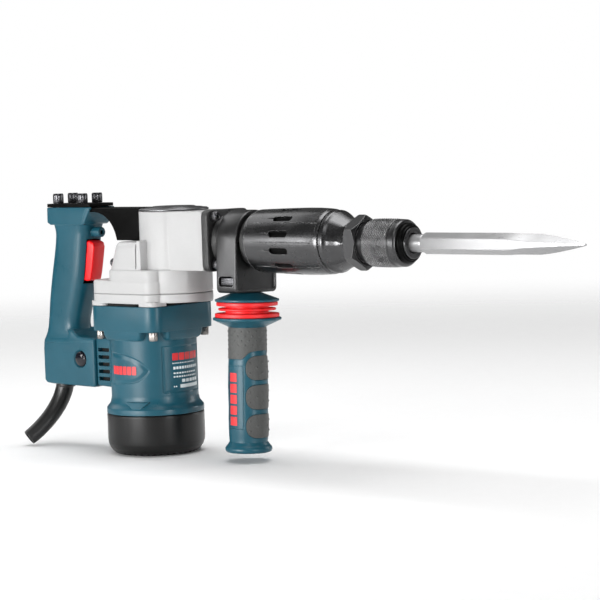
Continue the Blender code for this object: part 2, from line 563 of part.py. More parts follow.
def handle():
    rings = []
    for z, xr, xf, half, r in ((98, -143.2, -99, 18, 5), (109, -143.1, -97, 17.9, 6), (116, -142.8, -97.5, 17.2, 10), (123, -142.2, -99, 16.7, 12),
                               (132, -141.4, -98, 16.5, 12.5), (152, -139, -91.5, 16.5, 13), (175, -134.5, -85, 16.5, 13),
                               (200, -129, -81, 16.5, 13), (222, -125.5, -78.5, 16.8, 12), (236, -127, -75, 17.4, 8)):
        rings.append([(a, b, z) for a, b in rounded(xr, xf, -half, half, r, 4)])
    ob = skin("handle", rings, "teal")
    foot = prism("handle_foot", [(-140.4, 64.3), (-134, 63.6), (-67.5, 62.6), (-67.5, 113), (-88, 113.6), (-94, 116),
                                 (-99, 121), (-104, 121), (-108, 110.5), (-130, 108.5), (-142.6, 106), (-143.3, 100), (-143.3, 67.4)],
                 -18, 18, axis="Y")
    head = prism("handle_head", [(-129.3, 247), (-129.6, 231.5), (-125, 229), (-77.5, 229), (-75, 230.5), (-66, 246.4)],
                 -18, 18, axis="Y")
    boss = disc("boss", 5.2, -84, -67.5, at=(0, 0, 221), rot=ALONG, steps=24)
    join(ob, bevel(foot, 3.5, 2, 50), bevel(head, 2.5, 1, 50), boss)
    cut(ob,
        box("tongue_way", (-124.8, -15.3, 242.0), (-50, 15.3, 260)),
        box("switch_room", (-122, -9.4, 168), (-70, 9.4, 214)),
        disc("boss_hole", 2.2, -75, -60, at=(0, 0, 221), rot=ALONG, steps=16),
        disc("lock_way", 4.4, 0, 30, at=(-104, 0, 186), rot=(-math.pi / 2, 0, 0), steps=24),
        disc("gauge_way", 8.2, 14, 30, at=(-88.5, 0, 91), rot=(math.pi / 2, 0, 0), steps=32),
        disc("guard_way", 10.0, 55, 70, at=(GUARD_X, 0, 0), steps=100),
        *[disc("head_hole_%d%d" % (i, j), 3.1, 234.5, 262, at=(-101.5 + 17.8 * i, 10.5 * j, 0), steps=16)
          for i in (-1, 1) for j in (-1, 1)])
    top = prism("top_plate", rounded(-129.6, -66.8, -18, 18, 2, 3), 247 + GAP, 250.8, "black_matt")
    cut(bevel(top, 0.6, 1, 50), *[disc("plate_hole_%d%d" % (i, j), 3.1, 230, 260, at=(-101.5 + 17.8 * i, 10.5 * j, 0), steps=16)
                                  for i in (-1, 1) for j in (-1, 1)])
    n = 0
    for i in (-1, 1):
        for j in (-1, 1):
            n += 1
            cap_screw("handle_screw_%d" % n, (-101.5 + 17.8 * i, 10.5 * j, 250.8 + GAP), (0, 0, 0), 5.5, 10, 2.8, 15)
    disc("status_lens", 7.9, 14 + GAP, 19, "black_gloss", 32, at=(-88.5, 0, 91), rot=(math.pi / 2, 0, 0))
    # moulded guard of the mains lead, open at its end
    route = [Vector(p) for p in ((GUARD_X, 0, 68.8), (GUARD_X, 0, 47), (GUARD_X - 9, -17, 23), (GUARD_X - 19.5, -37, 7.9))]
    n = 10
    path = [sum((c * w for c, w in zip(route, ((1 - t) ** 3, 3 * t * (1 - t) ** 2, 3 * t * t * (1 - t), t ** 3))), Vector())
            for t in (i / n for i in range(n + 1))]
    radii = [9.2, 9.2] + [9.2 - 1.1 * i / n for i in range(2, n + 1)]
    pipe("cord_guard", path, radii, "black_matt", bore=6.0, sides=16)


def controls():
    pivot = empty("trigger_axis", (-88.5, 0, 175))
    outline = [(-91, 171.8), (-84.5, 170.8), (-79.3, 172), (-77, 180), (-73.8, 196), (-72.0, 206), (-73.5, 210.5),
               (-79, 212.6), (-92, 212.6), (-93, 205), (-92.5, 180)]
    trig = prism("trigger", [(x + 88.5, z - 175) for x, z in outline], -8.6, 8.6, "red", axis="Y", parent=pivot)
    bevel(trig, 2.2, 2, 50)
    body = box("switch_body", (-121.5, -9.1, 169), (-99.5, 9.1, 213), "black_matt")
    bevel(body, 1, 1)
    turned("lock_button", [(0, 7), (3.4, 7), (4.1, 6.2), (4.1, -2.4), (0, -2.4)], "black_matt", 24,
           at=(-104, 14.5, 186), rot=(-math.pi / 2, 0, 0))


def fasteners():
    n = 0
    for i in (-1, 1):
        for j in (-1, 1):
            n += 1
            cap_screw("motor_bolt_%d" % n, (i * BOLT_X, j * BOLT_Y, COLLAR_Z0 - GAP), (math.pi, 0, 0), 4.3, 8.4,
                      2.9, 36, "steel")
            cap_screw("barrel_bolt_%d" % n, (FLANGE_X1 + GAP, i * 21.3, 214.7 + j * 23.2), ALONG, 4.7, 6, 2.6, 15)
    for k, y in enumerate((-26, 26)):
        turned("wing_screw_%d" % (k + 1), [(0, 4.2), (2.8, 4.0), (4.2, 2.4), (4.2, 0), (2.0, 0), (2.0, -9), (0, -9)],
               "dark_steel", 20,
               at=(-24.5, y, 192), rot=(0, -math.pi / 2, 0))


rear_cover()
motor_housing()
motor_inside()
gear_case_base()
baffle()
crank_case()
lid()
crank_train()
barrel()
barrel_cover()
nose()
chuck()
chisel()
hammer_train()
side_handle()
rear_arm()
handle()
controls()
fasteners()
bpy.context.view_layer.update()
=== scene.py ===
"""Looks of an electric demolition hammer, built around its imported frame.

Shapes are drawn in millimetres and shrunk to metres when a piece is finished. Every piece
rides on the body of the CAD node that it stands for.
"""
import json
import math

import bmesh
import bpy
from mathutils import Euler, Matrix, Vector

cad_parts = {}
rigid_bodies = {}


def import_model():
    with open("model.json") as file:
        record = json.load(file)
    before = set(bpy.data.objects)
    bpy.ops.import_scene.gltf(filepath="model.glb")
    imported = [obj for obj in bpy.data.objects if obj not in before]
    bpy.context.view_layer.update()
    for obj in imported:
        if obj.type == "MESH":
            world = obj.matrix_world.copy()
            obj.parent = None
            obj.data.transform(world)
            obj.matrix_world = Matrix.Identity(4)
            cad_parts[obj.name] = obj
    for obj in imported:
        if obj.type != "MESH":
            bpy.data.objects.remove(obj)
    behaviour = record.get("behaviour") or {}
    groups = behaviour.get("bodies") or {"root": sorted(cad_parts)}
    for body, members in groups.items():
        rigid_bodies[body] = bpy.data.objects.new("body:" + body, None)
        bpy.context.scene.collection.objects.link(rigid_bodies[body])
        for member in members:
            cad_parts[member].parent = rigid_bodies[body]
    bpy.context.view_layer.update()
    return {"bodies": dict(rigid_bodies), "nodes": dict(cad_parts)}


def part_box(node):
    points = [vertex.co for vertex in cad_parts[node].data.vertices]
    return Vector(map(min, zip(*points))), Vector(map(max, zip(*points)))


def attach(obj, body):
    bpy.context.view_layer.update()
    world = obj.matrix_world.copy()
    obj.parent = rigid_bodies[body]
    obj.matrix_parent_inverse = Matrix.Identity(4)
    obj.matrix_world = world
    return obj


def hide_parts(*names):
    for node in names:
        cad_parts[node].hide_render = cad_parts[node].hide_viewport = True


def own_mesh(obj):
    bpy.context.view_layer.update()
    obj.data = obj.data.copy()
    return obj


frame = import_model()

MM = 0.001
TAU = 2 * math.pi
ALONG = (0, math.pi / 2, 0)
SCENE = bpy.context.scene


def span(node):
    """Corners of a CAD node in millimetres."""
    lo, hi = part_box(node)
    return lo / MM, hi / MM


# ---- stations read from the frame (mm)
CAP_R, CAP_TOP = span("rear_cover")[1].x, span("rear_cover")[1].z
SEAM_0 = span("motor_housing")[0].z
COLLAR_Z1 = span("motor_housing")[1].z
TOOL_Z = (span("tool_holder")[0].z + span("tool_holder")[1].z) / 2
BARREL_Z = (span("barrel_cover")[0].z + span("barrel_cover")[1].z) / 2
CASE_REAR = span("gear_case_base")[0].x
CRANK_X = (span("crank_lid")[0].x + span("crank_lid")[1].x) / 2
CRANK_R = (span("crank_lid")[1].x - span("crank_lid")[0].x) / 2
LID_Z = span("crank_lid")[1].z
CASE_Z0, CASE_S0 = span("gear_case_base")[0].z + 2.7, span("gear_case_base")[1].z
CASE_S1, CASE_Z1 = span("crank_case")[0].z, span("crank_case")[1].z
FLANGE_X0 = span("barrel")[0].x
COVER_X0, COVER_X1 = span("barrel_cover")[0].x, span("barrel_cover")[1].x
NOSE_X0, NOSE_X1 = span("nose")[0].x, span("nose")[1].x
HEX_X0, HUB_X1 = span("hex_flange")[0].x, span("hex_flange")[1].x
SLEEVE_X0, SLEEVE_X1 = span("chuck_sleeve")[0].x, span("chuck_sleeve")[1].x
TIP_X = span("chisel")[1].x
BAND_X = (span("clamp_band")[0].x + span("clamp_band")[1].x) / 2
BAND_HALF = (span("clamp_band")[1].x - span("clamp_band")[0].x) / 2
MOTOR_R = 43.8
BOLT = 36.3, 37.0
SWING = math.radians(1.8)     # the side handle leans to the right
GUARD_X = -130.0              # where the lead's guard leaves the handle
TOOL = dict(at=(0, 0, TOOL_Z), rot=ALONG)
CASTING = dict(at=(0, 0, BARREL_Z), rot=ALONG)


# ================================================================ materials
def node(nt, kind, **values):
    """Add a node; keywords set its sockets or, failing that, its properties."""
    n = nt.nodes.new(kind)
    for key, v in values.items():
        name = key.replace("_", " ")
        if name in n.inputs:
            n.inputs[name].default_value = v
        else:
            setattr(n, key, v)
    return n


def scaled(colour, k):
    return tuple(min(1.0, c * k) for c in colour[:3]) + (1.0,)


def surface(name, base, rough, metal=0.0, coat=0.0, spec=0.5, grain=1.2, depth=0.02, blotch=0.1,
            stretch=(1, 1, 1), edge=0.5, edge_highlight=None, edge_highlight_at=0.5, rough_by=0.08, lines=None, cells=None, sheen=0.0):
    """Procedural finish. grain is the size of its texture and depth its relief, both in millimetres; stretch
    draws the texture out; edge is the radius that corners catch light with; edge_highlight is the painted highlight
    colour of corners."""
    m = bpy.data.materials.new(name)
    m.use_nodes = True
    nt = m.node_tree
    link = nt.links.new
    out = nt.nodes["Principled BSDF"]
    out.inputs["Metallic"].default_value = metal
    out.inputs["Coat Weight"].default_value = coat
    out.inputs["Coat Roughness"].default_value = 0.08
    out.inputs["Specular IOR Level"].default_value = spec
    out.inputs["Sheen Weight"].default_value = sheen
    where = node(nt, "ShaderNodeTexCoord")
    drawn = node(nt, "ShaderNodeMapping", Scale=stretch)
    link(where.outputs["Object"], drawn.inputs["Vector"])
    fine = node(nt, "ShaderNodeTexNoise", Scale=1000 / grain, Detail=4.0, Roughness=0.6)
    link(drawn.outputs["Vector"], fine.inputs["Vector"])
    broad = node(nt, "ShaderNodeTexNoise", Scale=28.0, Detail=5.0, Roughness=0.65)
    link(where.outputs["Object"], broad.inputs["Vector"])
    both = node(nt, "ShaderNodeMath", operation="ADD")
    half = node(nt, "ShaderNodeMath", operation="MULTIPLY")
    half.inputs[1].default_value = 0.45
    link(fine.outputs["Fac"], half.inputs[0])
    link(broad.outputs["Fac"], both.inputs[0])
    link(half.outputs[0], both.inputs[1])
    tone = node(nt, "ShaderNodeMapRange")
    tone.inputs["From Min"].default_value = 0.5
    tone.inputs["From Max"].default_value = 0.95
    link(both.outputs[0], tone.inputs["Value"])
    colour = node(nt, "ShaderNodeMix", data_type="RGBA")
    colour.inputs["A"].default_value = scaled(base, 1 - blotch)
    colour.inputs["B"].default_value = scaled(base, 1 + blotch)
    link(tone.outputs["Result"], colour.inputs["Factor"])
    shade = colour.outputs["Result"]
    round_off = node(nt, "ShaderNodeBevel", samples=4, Radius=edge * MM)
    # painted highlight: corners turn to a lighter colour, patchy with the noise
    if edge_highlight:
        flat = node(nt, "ShaderNodeNewGeometry")
        dot = node(nt, "ShaderNodeVectorMath", operation="DOT_PRODUCT")
        link(round_off.outputs["Normal"], dot.inputs[0])
        link(flat.outputs["Normal"], dot.inputs[1])
        highlit_edges = node(nt, "ShaderNodeMapRange")
        for key, v in (("From Min", 0.985), ("From Max", 0.86), ("To Min", 0.0), ("To Max", edge_highlight_at)):
            highlit_edges.inputs[key].default_value = v
        link(dot.outputs["Value"], highlit_edges.inputs["Value"])
        patchy_highlight = node(nt, "ShaderNodeMath", operation="MULTIPLY")
        link(highlit_edges.outputs["Result"], patchy_highlight.inputs[0])
        link(tone.outputs["Result"], patchy_highlight.inputs[1])
        mix = node(nt, "ShaderNodeMix", data_type="RGBA")
        mix.inputs["B"].default_value = (*edge_highlight, 1.0)
        link(shade, mix.inputs["A"])
        link(patchy_highlight.outputs[0], mix.inputs["Factor"])
        shade = mix.outputs["Result"]
    height = fine.outputs["Fac"]
    if cells:
        dots = node(nt, "ShaderNodeTexVoronoi", Scale=1000 / cells)
        link(where.outputs["Object"], dots.inputs["Vector"])
        sunk = node(nt, "ShaderNodeMath", operation="ADD")
        link(dots.outputs["Distance"], sunk.inputs[0])
        link(height, sunk.inputs[1])
        height = sunk.outputs[0]
    if lines:
        band = node(nt, "ShaderNodeTexWave", Scale=lines[1], Distortion=lines[2], Detail=2.0,
                    bands_direction=lines[0])
        link(where.outputs["Object"], band.inputs["Vector"])
        added = node(nt, "ShaderNodeMath", operation="ADD")
        link(band.outputs["Fac"], added.inputs[0])
        link(height, added.inputs[1])
        height = added.outputs[0]
    gloss = node(nt, "ShaderNodeMapRange")
    gloss.inputs["To Min"].default_value = max(0.03, rough - rough_by)
    gloss.inputs["To Max"].default_value = rough + rough_by
    link(both.outputs[0], gloss.inputs["Value"])
    gloss.inputs["From Min"].default_value = 0.5
    gloss.inputs["From Max"].default_value = 0.95
    link(gloss.outputs["Result"], out.inputs["Roughness"])
    bump = node(nt, "ShaderNodeBump", Strength=1.0, Distance=depth * MM)
    link(height, bump.inputs["Height"])
    link(round_off.outputs["Normal"], bump.inputs["Normal"])
    link(bump.outputs["Normal"], out.inputs["Normal"])
    link(shade, out.inputs["Base Color"])
    return m


TEAL = (0.008, 0.074, 0.108)
LOOKS = {
    "teal_plastic": surface("teal moulding", TEAL, 0.34, grain=0.8, depth=0.022, blotch=0.10, edge=0.9,
                            edge_highlight=(0.10, 0.25, 0.31), edge_highlight_at=0.6, spec=0.35),
    "case_paint": surface("painted casting", (0.44, 0.44, 0.44), 0.38, grain=1.7, depth=0.035, blotch=0.03,
                          edge=1.6, edge_highlight=(0.6, 0.6, 0.6), edge_highlight_at=0.3, spec=0.25),
    "motor_cover_black": surface("gloss black cap", (0.003, 0.003, 0.003), 0.32, grain=2.2, depth=0.012,
                                 blotch=0.2, edge=0.8, edge_highlight=(0.05, 0.05, 0.052), rough_by=0.04, spec=0.35),
    "black_plastic": surface("black moulding", (0.002, 0.002, 0.002), 0.36, grain=0.7, depth=0.03, blotch=0.25,
                             edge=0.6, edge_highlight=(0.04, 0.04, 0.042), spec=0.06),
    "lid_metal": surface("dark lid", (0.13, 0.13, 0.135), 0.34, metal=0.9, grain=0.9, depth=0.01, blotch=0.2,
                         stretch=(0.08, 1, 1), edge=0.5, edge_highlight=(0.5, 0.5, 0.5)),
    "barrel_casting": surface("rough casting", (0.045, 0.045, 0.045), 0.36, metal=0.6, grain=1.1, depth=0.5,
                              blotch=0.5, edge=0.8, edge_highlight=(0.4, 0.4, 0.4), edge_highlight_at=0.8, rough_by=0.12),
    "cover_black": surface("barrel shell", (0.085, 0.085, 0.087), 0.27, metal=0.95, grain=2.0, depth=0.005,
                           blotch=0.06, stretch=(0.1, 1, 1), edge=0.7, edge_highlight=(0.5, 0.5, 0.5), edge_highlight_at=0.5),
    "chuck_steel": surface("blackened steel", (0.085, 0.085, 0.087), 0.30, metal=0.95, grain=0.8, depth=0.03,
                           blotch=0.25, edge=0.35, edge_highlight=(0.6, 0.6, 0.6), edge_highlight_at=0.9),
    "chisel_steel": surface("forged satin steel", (0.34, 0.34, 0.344), 0.34, metal=0.6, grain=1.0, depth=0.02,
                            blotch=0.05, stretch=(0.05, 1, 1), edge=0.4, edge_highlight=(0.6, 0.6, 0.6), edge_highlight_at=0.9),
    "screw_dark": surface("blackened screw", (0.08, 0.08, 0.085), 0.26, metal=0.9, grain=0.6, depth=0.02,
                          blotch=0.3, edge=0.3, edge_highlight=(0.6, 0.6, 0.6), edge_highlight_at=0.8),
    "screw_bright": surface("plated screw", (0.26, 0.245, 0.23), 0.28, metal=0.9, grain=0.6, depth=0.015,
                            blotch=0.25, edge=0.3, edge_highlight=(0.6, 0.58, 0.55)),
    "machined_steel": surface("ground steel", (0.5, 0.5, 0.51), 0.25, metal=1.0, grain=0.5, depth=0.012,
                              blotch=0.1, stretch=(1, 1, 0.1), edge=0.3, edge_highlight=(0.85, 0.85, 0.85)),
    "bearing_steel": surface("bearing steel", (0.6, 0.6, 0.61), 0.15, metal=1.0, grain=0.7, depth=0.006,
                             blotch=0.06, edge=0.3, rough_by=0.05),
    "laminated_steel": surface("laminations", (0.09, 0.09, 0.095), 0.5, metal=0.8, grain=0.9, depth=0.08,
                               blotch=0.3, edge=0.3, lines=("Z", 800.0, 0.3)),
    "carbon": surface("carbon", (0.02, 0.02, 0.02), 0.6, grain=0.4, depth=0.04, blotch=0.3, edge=0.3),
    "copper": surface("copper bars", (0.72, 0.33, 0.18), 0.3, metal=1.0, grain=0.8, depth=0.02, blotch=0.2, edge=0.3),
    "red_plastic": surface("red moulding", (0.95, 0.004, 0.008), 0.34, grain=0.8, depth=0.018, blotch=0.06,
                           edge=0.8, edge_highlight=(0.95, 0.16, 0.12), edge_highlight_at=0.6),
    "red_rubber": surface("red rubber", (0.80, 0.010, 0.014), 0.45, grain=0.9, depth=0.03, blotch=0.08,
                          edge=0.5, edge_highlight=(1.0, 0.16, 0.12), edge_highlight_at=0.5),
    "grip_rubber": surface("dark rubber", (0.062, 0.064, 0.062), 0.6, grain=0.55, depth=0.09, blotch=0.2,
                           edge=0.5, edge_highlight=(0.16, 0.16, 0.16), edge_highlight_at=0.5, cells=2.4, sheen=0.15),
    "guard_rubber": surface("guard rubber", (0.006, 0.006, 0.006), 0.36, grain=1.1, depth=0.03, blotch=0.25,
                            edge=0.6, edge_highlight=(0.08, 0.08, 0.08), stretch=(1, 1, 0.4)),
    "lens_black": surface("polished lens", (0.006, 0.006, 0.010), 0.10, grain=3.0, depth=0.004, blotch=0.1,
                          edge=0.5, rough_by=0.03),
}
CLAMP = surface("clamp casting", (0.06, 0.06, 0.061), 0.34, metal=0.85, grain=1.2, depth=0.06, blotch=0.12, edge=1.4,
                edge_highlight=(0.45, 0.45, 0.45), edge_highlight_at=0.8)
HEX_BLACK = surface("black oxide", (0.02, 0.02, 0.021), 0.3, metal=0.6, grain=0.8, depth=0.03, blotch=0.25,
                    edge=0.5, edge_highlight=(0.6, 0.6, 0.6), edge_highlight_at=0.9)
MARK = surface("red print", (0.66, 0.025, 0.03), 0.42, grain=0.5, depth=0.01, blotch=0.1, edge=0.2)
PRINT = surface("pale print", (0.72, 0.78, 0.80), 0.5, grain=0.5, depth=0.01, blotch=0.1, edge=0.2)
# near-black foam: the air baffle's finish, and painted shade in the block behind the louvres
FOAM_AND_PAINTED_SHADE = surface("filter foam and painted shade", (0.006, 0.006, 0.006), 0.9, grain=1.5, depth=0.4, blotch=0.4, edge=0.2)


# ================================================================ drawing
def fillet(pts, r, n=3, loop=False):
    """Round every corner of a 2-D line with an arc."""
    out, m = [], len(pts)
    for i, p in enumerate(pts):
        b = Vector(p)
        if not loop and i in (0, m - 1):
            out.append(tuple(b))
            continue
        u, v = Vector(pts[i - 1]) - b, Vector(pts[(i + 1) % m]) - b
        lu, lv = u.length, v.length
        if min(lu, lv) < 1e-6 or not math.radians(4) < u.angle(v) < math.radians(171):
            out.append(tuple(b))
            continue
        u, v = u / lu, v / lv
        half = u.angle(v) / 2
        t = min(r / math.tan(half), 0.48 * lu, 0.48 * lv)
        mid = b + (u + v).normalized() * (t / math.cos(half))
        a, c = b + u * t - mid, b + v * t - mid
        sweep = math.copysign(math.pi - 2 * half, a.x * c.y - a.y * c.x)
        for k in range(n + 1):
            q = sweep * k / n
            out.append((mid.x + a.x * math.cos(q) - a.y * math.sin(q), mid.y + a.x * math.sin(q) + a.y * math.cos(q)))
    return out


def rounded(x0, x1, y0, y1, r, n=8, front=None):
    """Rectangle with round corners, counter-clockwise; front is the radius at x1."""
    f = r if front is None else front
    out = []
    for cx, cy, a0, q in ((x1 - f, y1 - f, 0, f), (x0 + r, y1 - r, 90, r), (x0 + r, y0 + r, 180, r),
                          (x1 - f, y0 + f, 270, f)):
        for i in range(n + 1):
            a = math.radians(a0 + 90 * i / n)
            out.append((cx + q * math.cos(a), cy + q * math.sin(a)))
    return out


def circle(cx, cy, r, n=64):
    return [(cx + r * math.cos(TAU * i / n), cy + r * math.sin(TAU * i / n)) for i in range(n)]


def inset(pts, d):
    """Move a closed outline inwards; stretches that turn back collapse to a point."""
    area = sum(a[0] * b[1] - b[0] * a[1] for a, b in zip(pts, pts[1:] + pts[:1]))
    sign = 1 if area > 0 else -1
    m = len(pts)
    old = [Vector(p) for p in pts]
    out = []
    for i, b in enumerate(old):
        e, f = (b - old[i - 1]).normalized(), (old[(i + 1) % m] - b).normalized()
        n = Vector((e.y + f.y, -e.x - f.x)) * sign
        if n.length < 1e-6:
            out.append(b.copy())
            continue
        n.normalize()
        out.append(b - n * (d / max(0.5, n.dot(Vector((e.y, -e.x)) * sign))))
    back = [(out[(i + 1) % m] - out[i]).dot(old[(i + 1) % m] - old[i]) < 0 for i in range(m)]
    if any(back) and not all(back):
        start = back.index(False) + 1
        run = []
        for k in range(m + 1):
            i = (start + k) % m
            if back[i] and k < m:
                run.append(i)
            elif run:
                ids = run + [i]
                mean = sum((out[j] for j in ids), Vector((0, 0))) / len(ids)
                for j in ids:
                    out[j] = mean.copy()
                run = []
    return [tuple(v) for v in out]


def shape(bm, at=(0, 0, 0), rot=(0, 0, 0)):
    """Working object, in millimetres."""
    bmesh.ops.recalc_face_normals(bm, faces=bm.faces)
    if bm.calc_volume(signed=True) < 0:
        bmesh.ops.reverse_faces(bm, faces=bm.faces)
    bm.transform(Matrix.LocRotScale(Vector(at), Euler(rot), None))
    me = bpy.data.meshes.new("shape")
    bm.to_mesh(me)
    bm.free()
    ob = bpy.data.objects.new("shape", me)
    SCENE.collection.objects.link(ob)
    return ob


def loft(rings, loop=False, **kw):
    """Skin through rings of equal point count."""
    bm = bmesh.new()
    rows = [[bm.verts.new(p) for p in ring] for ring in rings]
    n = len(rows[0])
    for a, b in zip(rows, rows[1:] + (rows[:1] if loop else [])):
        for i in range(n):
            bm.faces.new((a[i], a[(i + 1) % n], b[(i + 1) % n], b[i]))
    if not loop:
        bm.faces.new(rows[0][::-1])
        bm.faces.new(rows[-1])
    bmesh.ops.remove_doubles(bm, verts=bm.verts, dist=1e-4)
    return shape(bm, **kw)


def lathe(profile, steps=96, ring=False, soft=0.5, n=3, **kw):
    """Turn (radius, height) points about Z."""
    pts = fillet(profile, soft, n, ring) if soft else profile
    bm = bmesh.new()
    rows = []
    for r, z in pts:
        if abs(r) < 1e-6:
            rows.append([bm.verts.new((0, 0, z))] * steps)
        else:
            rows.append([bm.verts.new((r * math.cos(TAU * i / steps), r * math.sin(TAU * i / steps), z))
                         for i in range(steps)])
    for a, b in zip(rows, rows[1:] + (rows[:1] if ring else [])):
        for i in range(steps):
            j = (i + 1) % steps
            f = []
            for v in (a[i], a[j], b[j], b[i]):
                if v not in f:
                    f.append(v)
            if len(f) > 2:
                bm.faces.new(f)
    return shape(bm, **kw)


def disc(r, z0, z1, soft=0.4, **kw):
    return lathe([(0, z1), (r, z1), (r, z0), (0, z0)], soft=soft, **kw)


PLACE = {"Z": lambda a, b, h: (a, b, h), "Y": lambda a, b, h: (a, h, b), "X": lambda a, b, h: (h, a, b)}


def slab(outline, h0, h1, axis="Z", edge=0.0, edge0=None, n=3, **kw):
    """Extrude a closed outline with rounded rims; edge0 is the radius at h0."""
    place = PLACE[axis]
    e0 = edge if edge0 is None else edge0
    levels = [(h0, 0.0)] if not e0 else [
        (h0 + e0 * (1 - math.cos(a)), e0 * (1 - math.sin(a))) for a in (math.pi / 2 * i / n for i in range(n + 1))]
    levels += [(h1, 0.0)] if not edge else [
        (h1 - edge * (1 - math.sin(a)), edge * (1 - math.cos(a))) for a in (math.pi / 2 * i / n for i in range(n + 1))]
    return loft([[place(a, b, h) for a, b in (inset(outline, d) if d else outline)] for h, d in levels], **kw)


def block(lo, hi, edge=0.0, **kw):
    return slab([(lo[0], lo[1]), (hi[0], lo[1]), (hi[0], hi[1]), (lo[0], hi[1])], lo[2], hi[2], edge=edge, **kw)


def wrap(outline, r0, r1, turn=0.0, step=1.6, edge=0.0, **kw):
    """Curved slab: outline is (arc length, height), bent round Z between two radii, centred at turn degrees."""
    ob = slab(outline, 0, 1, axis="Y")
    bm = bmesh.new()
    bm.from_mesh(ob.data)
    bpy.data.objects.remove(ob, do_unlink=True)
    lo, hi = min(p[0] for p in outline), max(p[0] for p in outline)
    k = math.ceil(lo / step)
    while k * step < hi:
        geom = bm.verts[:] + bm.edges[:] + bm.faces[:]
        bmesh.ops.bisect_plane(bm, geom=geom, plane_co=(k * step, 0, 0), plane_no=(1, 0, 0))
        k += 1
    for v in bm.verts:
        r = r1 if v.co.y > 0.5 else r0
        a = math.radians(turn) + v.co.x / max(r0, r1)
        v.co = (r * math.cos(a), r * math.sin(a), v.co.z)
    return shape(bm, **kw)


def wire(points, radius, sides=10, loop=False, **kw):
    """Round bar along points; radius may be a list."""
    pts = [Vector(p) for p in points]
    rad = radius if isinstance(radius, (list, tuple)) else [radius] * len(pts)
    m = len(pts)
    rings, up = [], None
    for i, p in enumerate(pts):
        a, b = (pts[i - 1], pts[(i + 1) % m]) if loop else (pts[max(i - 1, 0)], pts[min(i + 1, m - 1)])
        t = (b - a).normalized()
        if up is None:
            up = t.orthogonal().normalized()
        up = (up - t * up.dot(t)).normalized()
        side = t.cross(up)
        rings.append([p + rad[i] * (math.cos(q) * up + math.sin(q) * side)
                      for q in (TAU * k / sides for k in range(sides))])
    return loft(rings, loop=loop, **kw)


def merge(*obs):
    """Put several working objects into the first."""
    bm = bmesh.new()
    for o in obs:
        bm.from_mesh(o.data)
    bm.to_mesh(obs[0].data)
    bm.free()
    for o in obs[1:]:
        bpy.data.objects.remove(o, do_unlink=True)
    return obs[0]


def boole(ob, others, how):
    other = merge(*others)
    m = ob.modifiers.new("b", "BOOLEAN")
    m.operation, m.object, m.solver = how, other, "EXACT"
    m.use_self = len(others) > 1
    me = bpy.data.meshes.new_from_object(ob.evaluated_get(bpy.context.evaluated_depsgraph_get()))
    ob.modifiers.clear()
    ob.data = me
    bpy.data.objects.remove(other, do_unlink=True)
    return ob


def cut(ob, *others):
    return boole(ob, others, "DIFFERENCE")


def join(ob, *others):
    return boole(ob, others, "UNION")


def common(ob, other):
    return boole(ob, [other], "INTERSECT")


def turned_about(ob, matrix):
    ob.data.transform(matrix)
    return ob


def piece(name, ob, slot, stands_for=(), like=None, look=None, smooth=32):
    """Finish a working object as a visible piece on the body of the CAD node it stands for."""
    me = ob.data
    me.transform(Matrix.Scale(MM, 4))
    me.name = ob.name = name
    me.materials.clear()
    me.materials.append(look or LOOKS[slot])
    for p in me.polygons:
        p.material_index = 0
    me.shade_smooth()
    me.set_sharp_from_angle(angle=math.radians(smooth))
    nodes = [stands_for] if isinstance(stands_for, str) else list(stands_for)
    home = frame["nodes"][like or nodes[0]].parent
    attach(ob, next(b for b, e in frame["bodies"].items() if e is home))
    if nodes:
        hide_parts(*nodes)
    return ob


# ================================================================ motor
def rear_cover():
    ob = lathe([(0, 8), (16, 8), (16, 25), (20, 25), (20, 10), (37, 10), (43, 16), (43, CAP_TOP), (47.9, CAP_TOP),
                (CAP_R, CAP_TOP - 0.9), (CAP_R, 15.5), (48.6, 11), (47, 6.6), (44.4, 2.9), (41.6, 0.8), (38.5, 0), (0, 0)],
               160, soft=2.0, n=4)
    vents = [slab(rounded(26, 33, -4.5, 4.5, 2), -1, 12, rot=(0, 0, math.radians(60 * i))) for i in range(6)]
    for i in range(40):
        vents.append(slab(rounded(37.4, 48, -1.5, 1.5, 0.8, 3), -1, 2.4, rot=(0, 0, TAU * (i + 0.5) / 40)))
    ring = lathe([(49.4, CAP_TOP - 2.3), (49.4, CAP_TOP - 2.8), (48.7, CAP_TOP - 2.55)], 160, ring=True, soft=0)
    cut(ob, *vents)
    cut(ob, ring)
    piece("rear_cover_shell", ob, "motor_cover_black", "rear_cover")


def belly(b, c):
    """Bulge under the collar between two bolt corners."""
    rings = []
    for z, k in ((126, 1.0), (122, 0.99), (119.6, 0.965), (117.6, 0.93), (116.2, 0.89), (115.4, 0.84)):
        rings.append([(x, y, z) for x, y in rounded(-b * (k if b < c else 1 - (1 - k) * 0.35), b * (k if b < c else 1 - (1 - k) * 0.35),
                                                    -c * (k if c < b else 1 - (1 - k) * 0.35), c * (k if c < b else 1 - (1 - k) * 0.35), 3.5, 4)])
    return loft(rings)


HOUSING_LINE = [(126, MOTOR_R), (59, MOTOR_R), (56.6, MOTOR_R + 0.15), (54.2, MOTOR_R + 0.6), (52, 44.9), (50.2, 45.9),
                (48.6, 47.3), (47.4, 48.3), (46.6, 48.9), (46.0, CAP_R), (SEAM_0, CAP_R)]
LEAF = [(-118, 103.0), (-108, 102.7), (-97, 102.0), (-88, 101.2), (-78.6, 99.5), (-71, 97.3), (-64.3, 94.6), (-58, 90.4), (-52.7, 85.5), (-59.5, 79.0),
        (-68, 74.7), (-78, 72.9), (-88.6, 72.3), (-97, 71.6),
        (-108, 71.0), (-118, 70.7)]


def side_of(poly, x, y):
    """Distance to a closed outline, positive inside."""
    best, inside = 1e9, False
    for (ax, ay), (bx, by) in zip(poly, poly[1:] + poly[:1]):
        if (ay > y) != (by > y) and x < ax + (y - ay) * (bx - ax) / (by - ay):
            inside = not inside
        dx, dy = bx - ax, by - ay
        t = max(0.0, min(1.0, ((x - ax) * dx + (y - ay) * dy) / (dx * dx + dy * dy)))
        best = min(best, math.hypot(x - ax - dx * t, y - ay - dy * t))
    return best if inside else -best


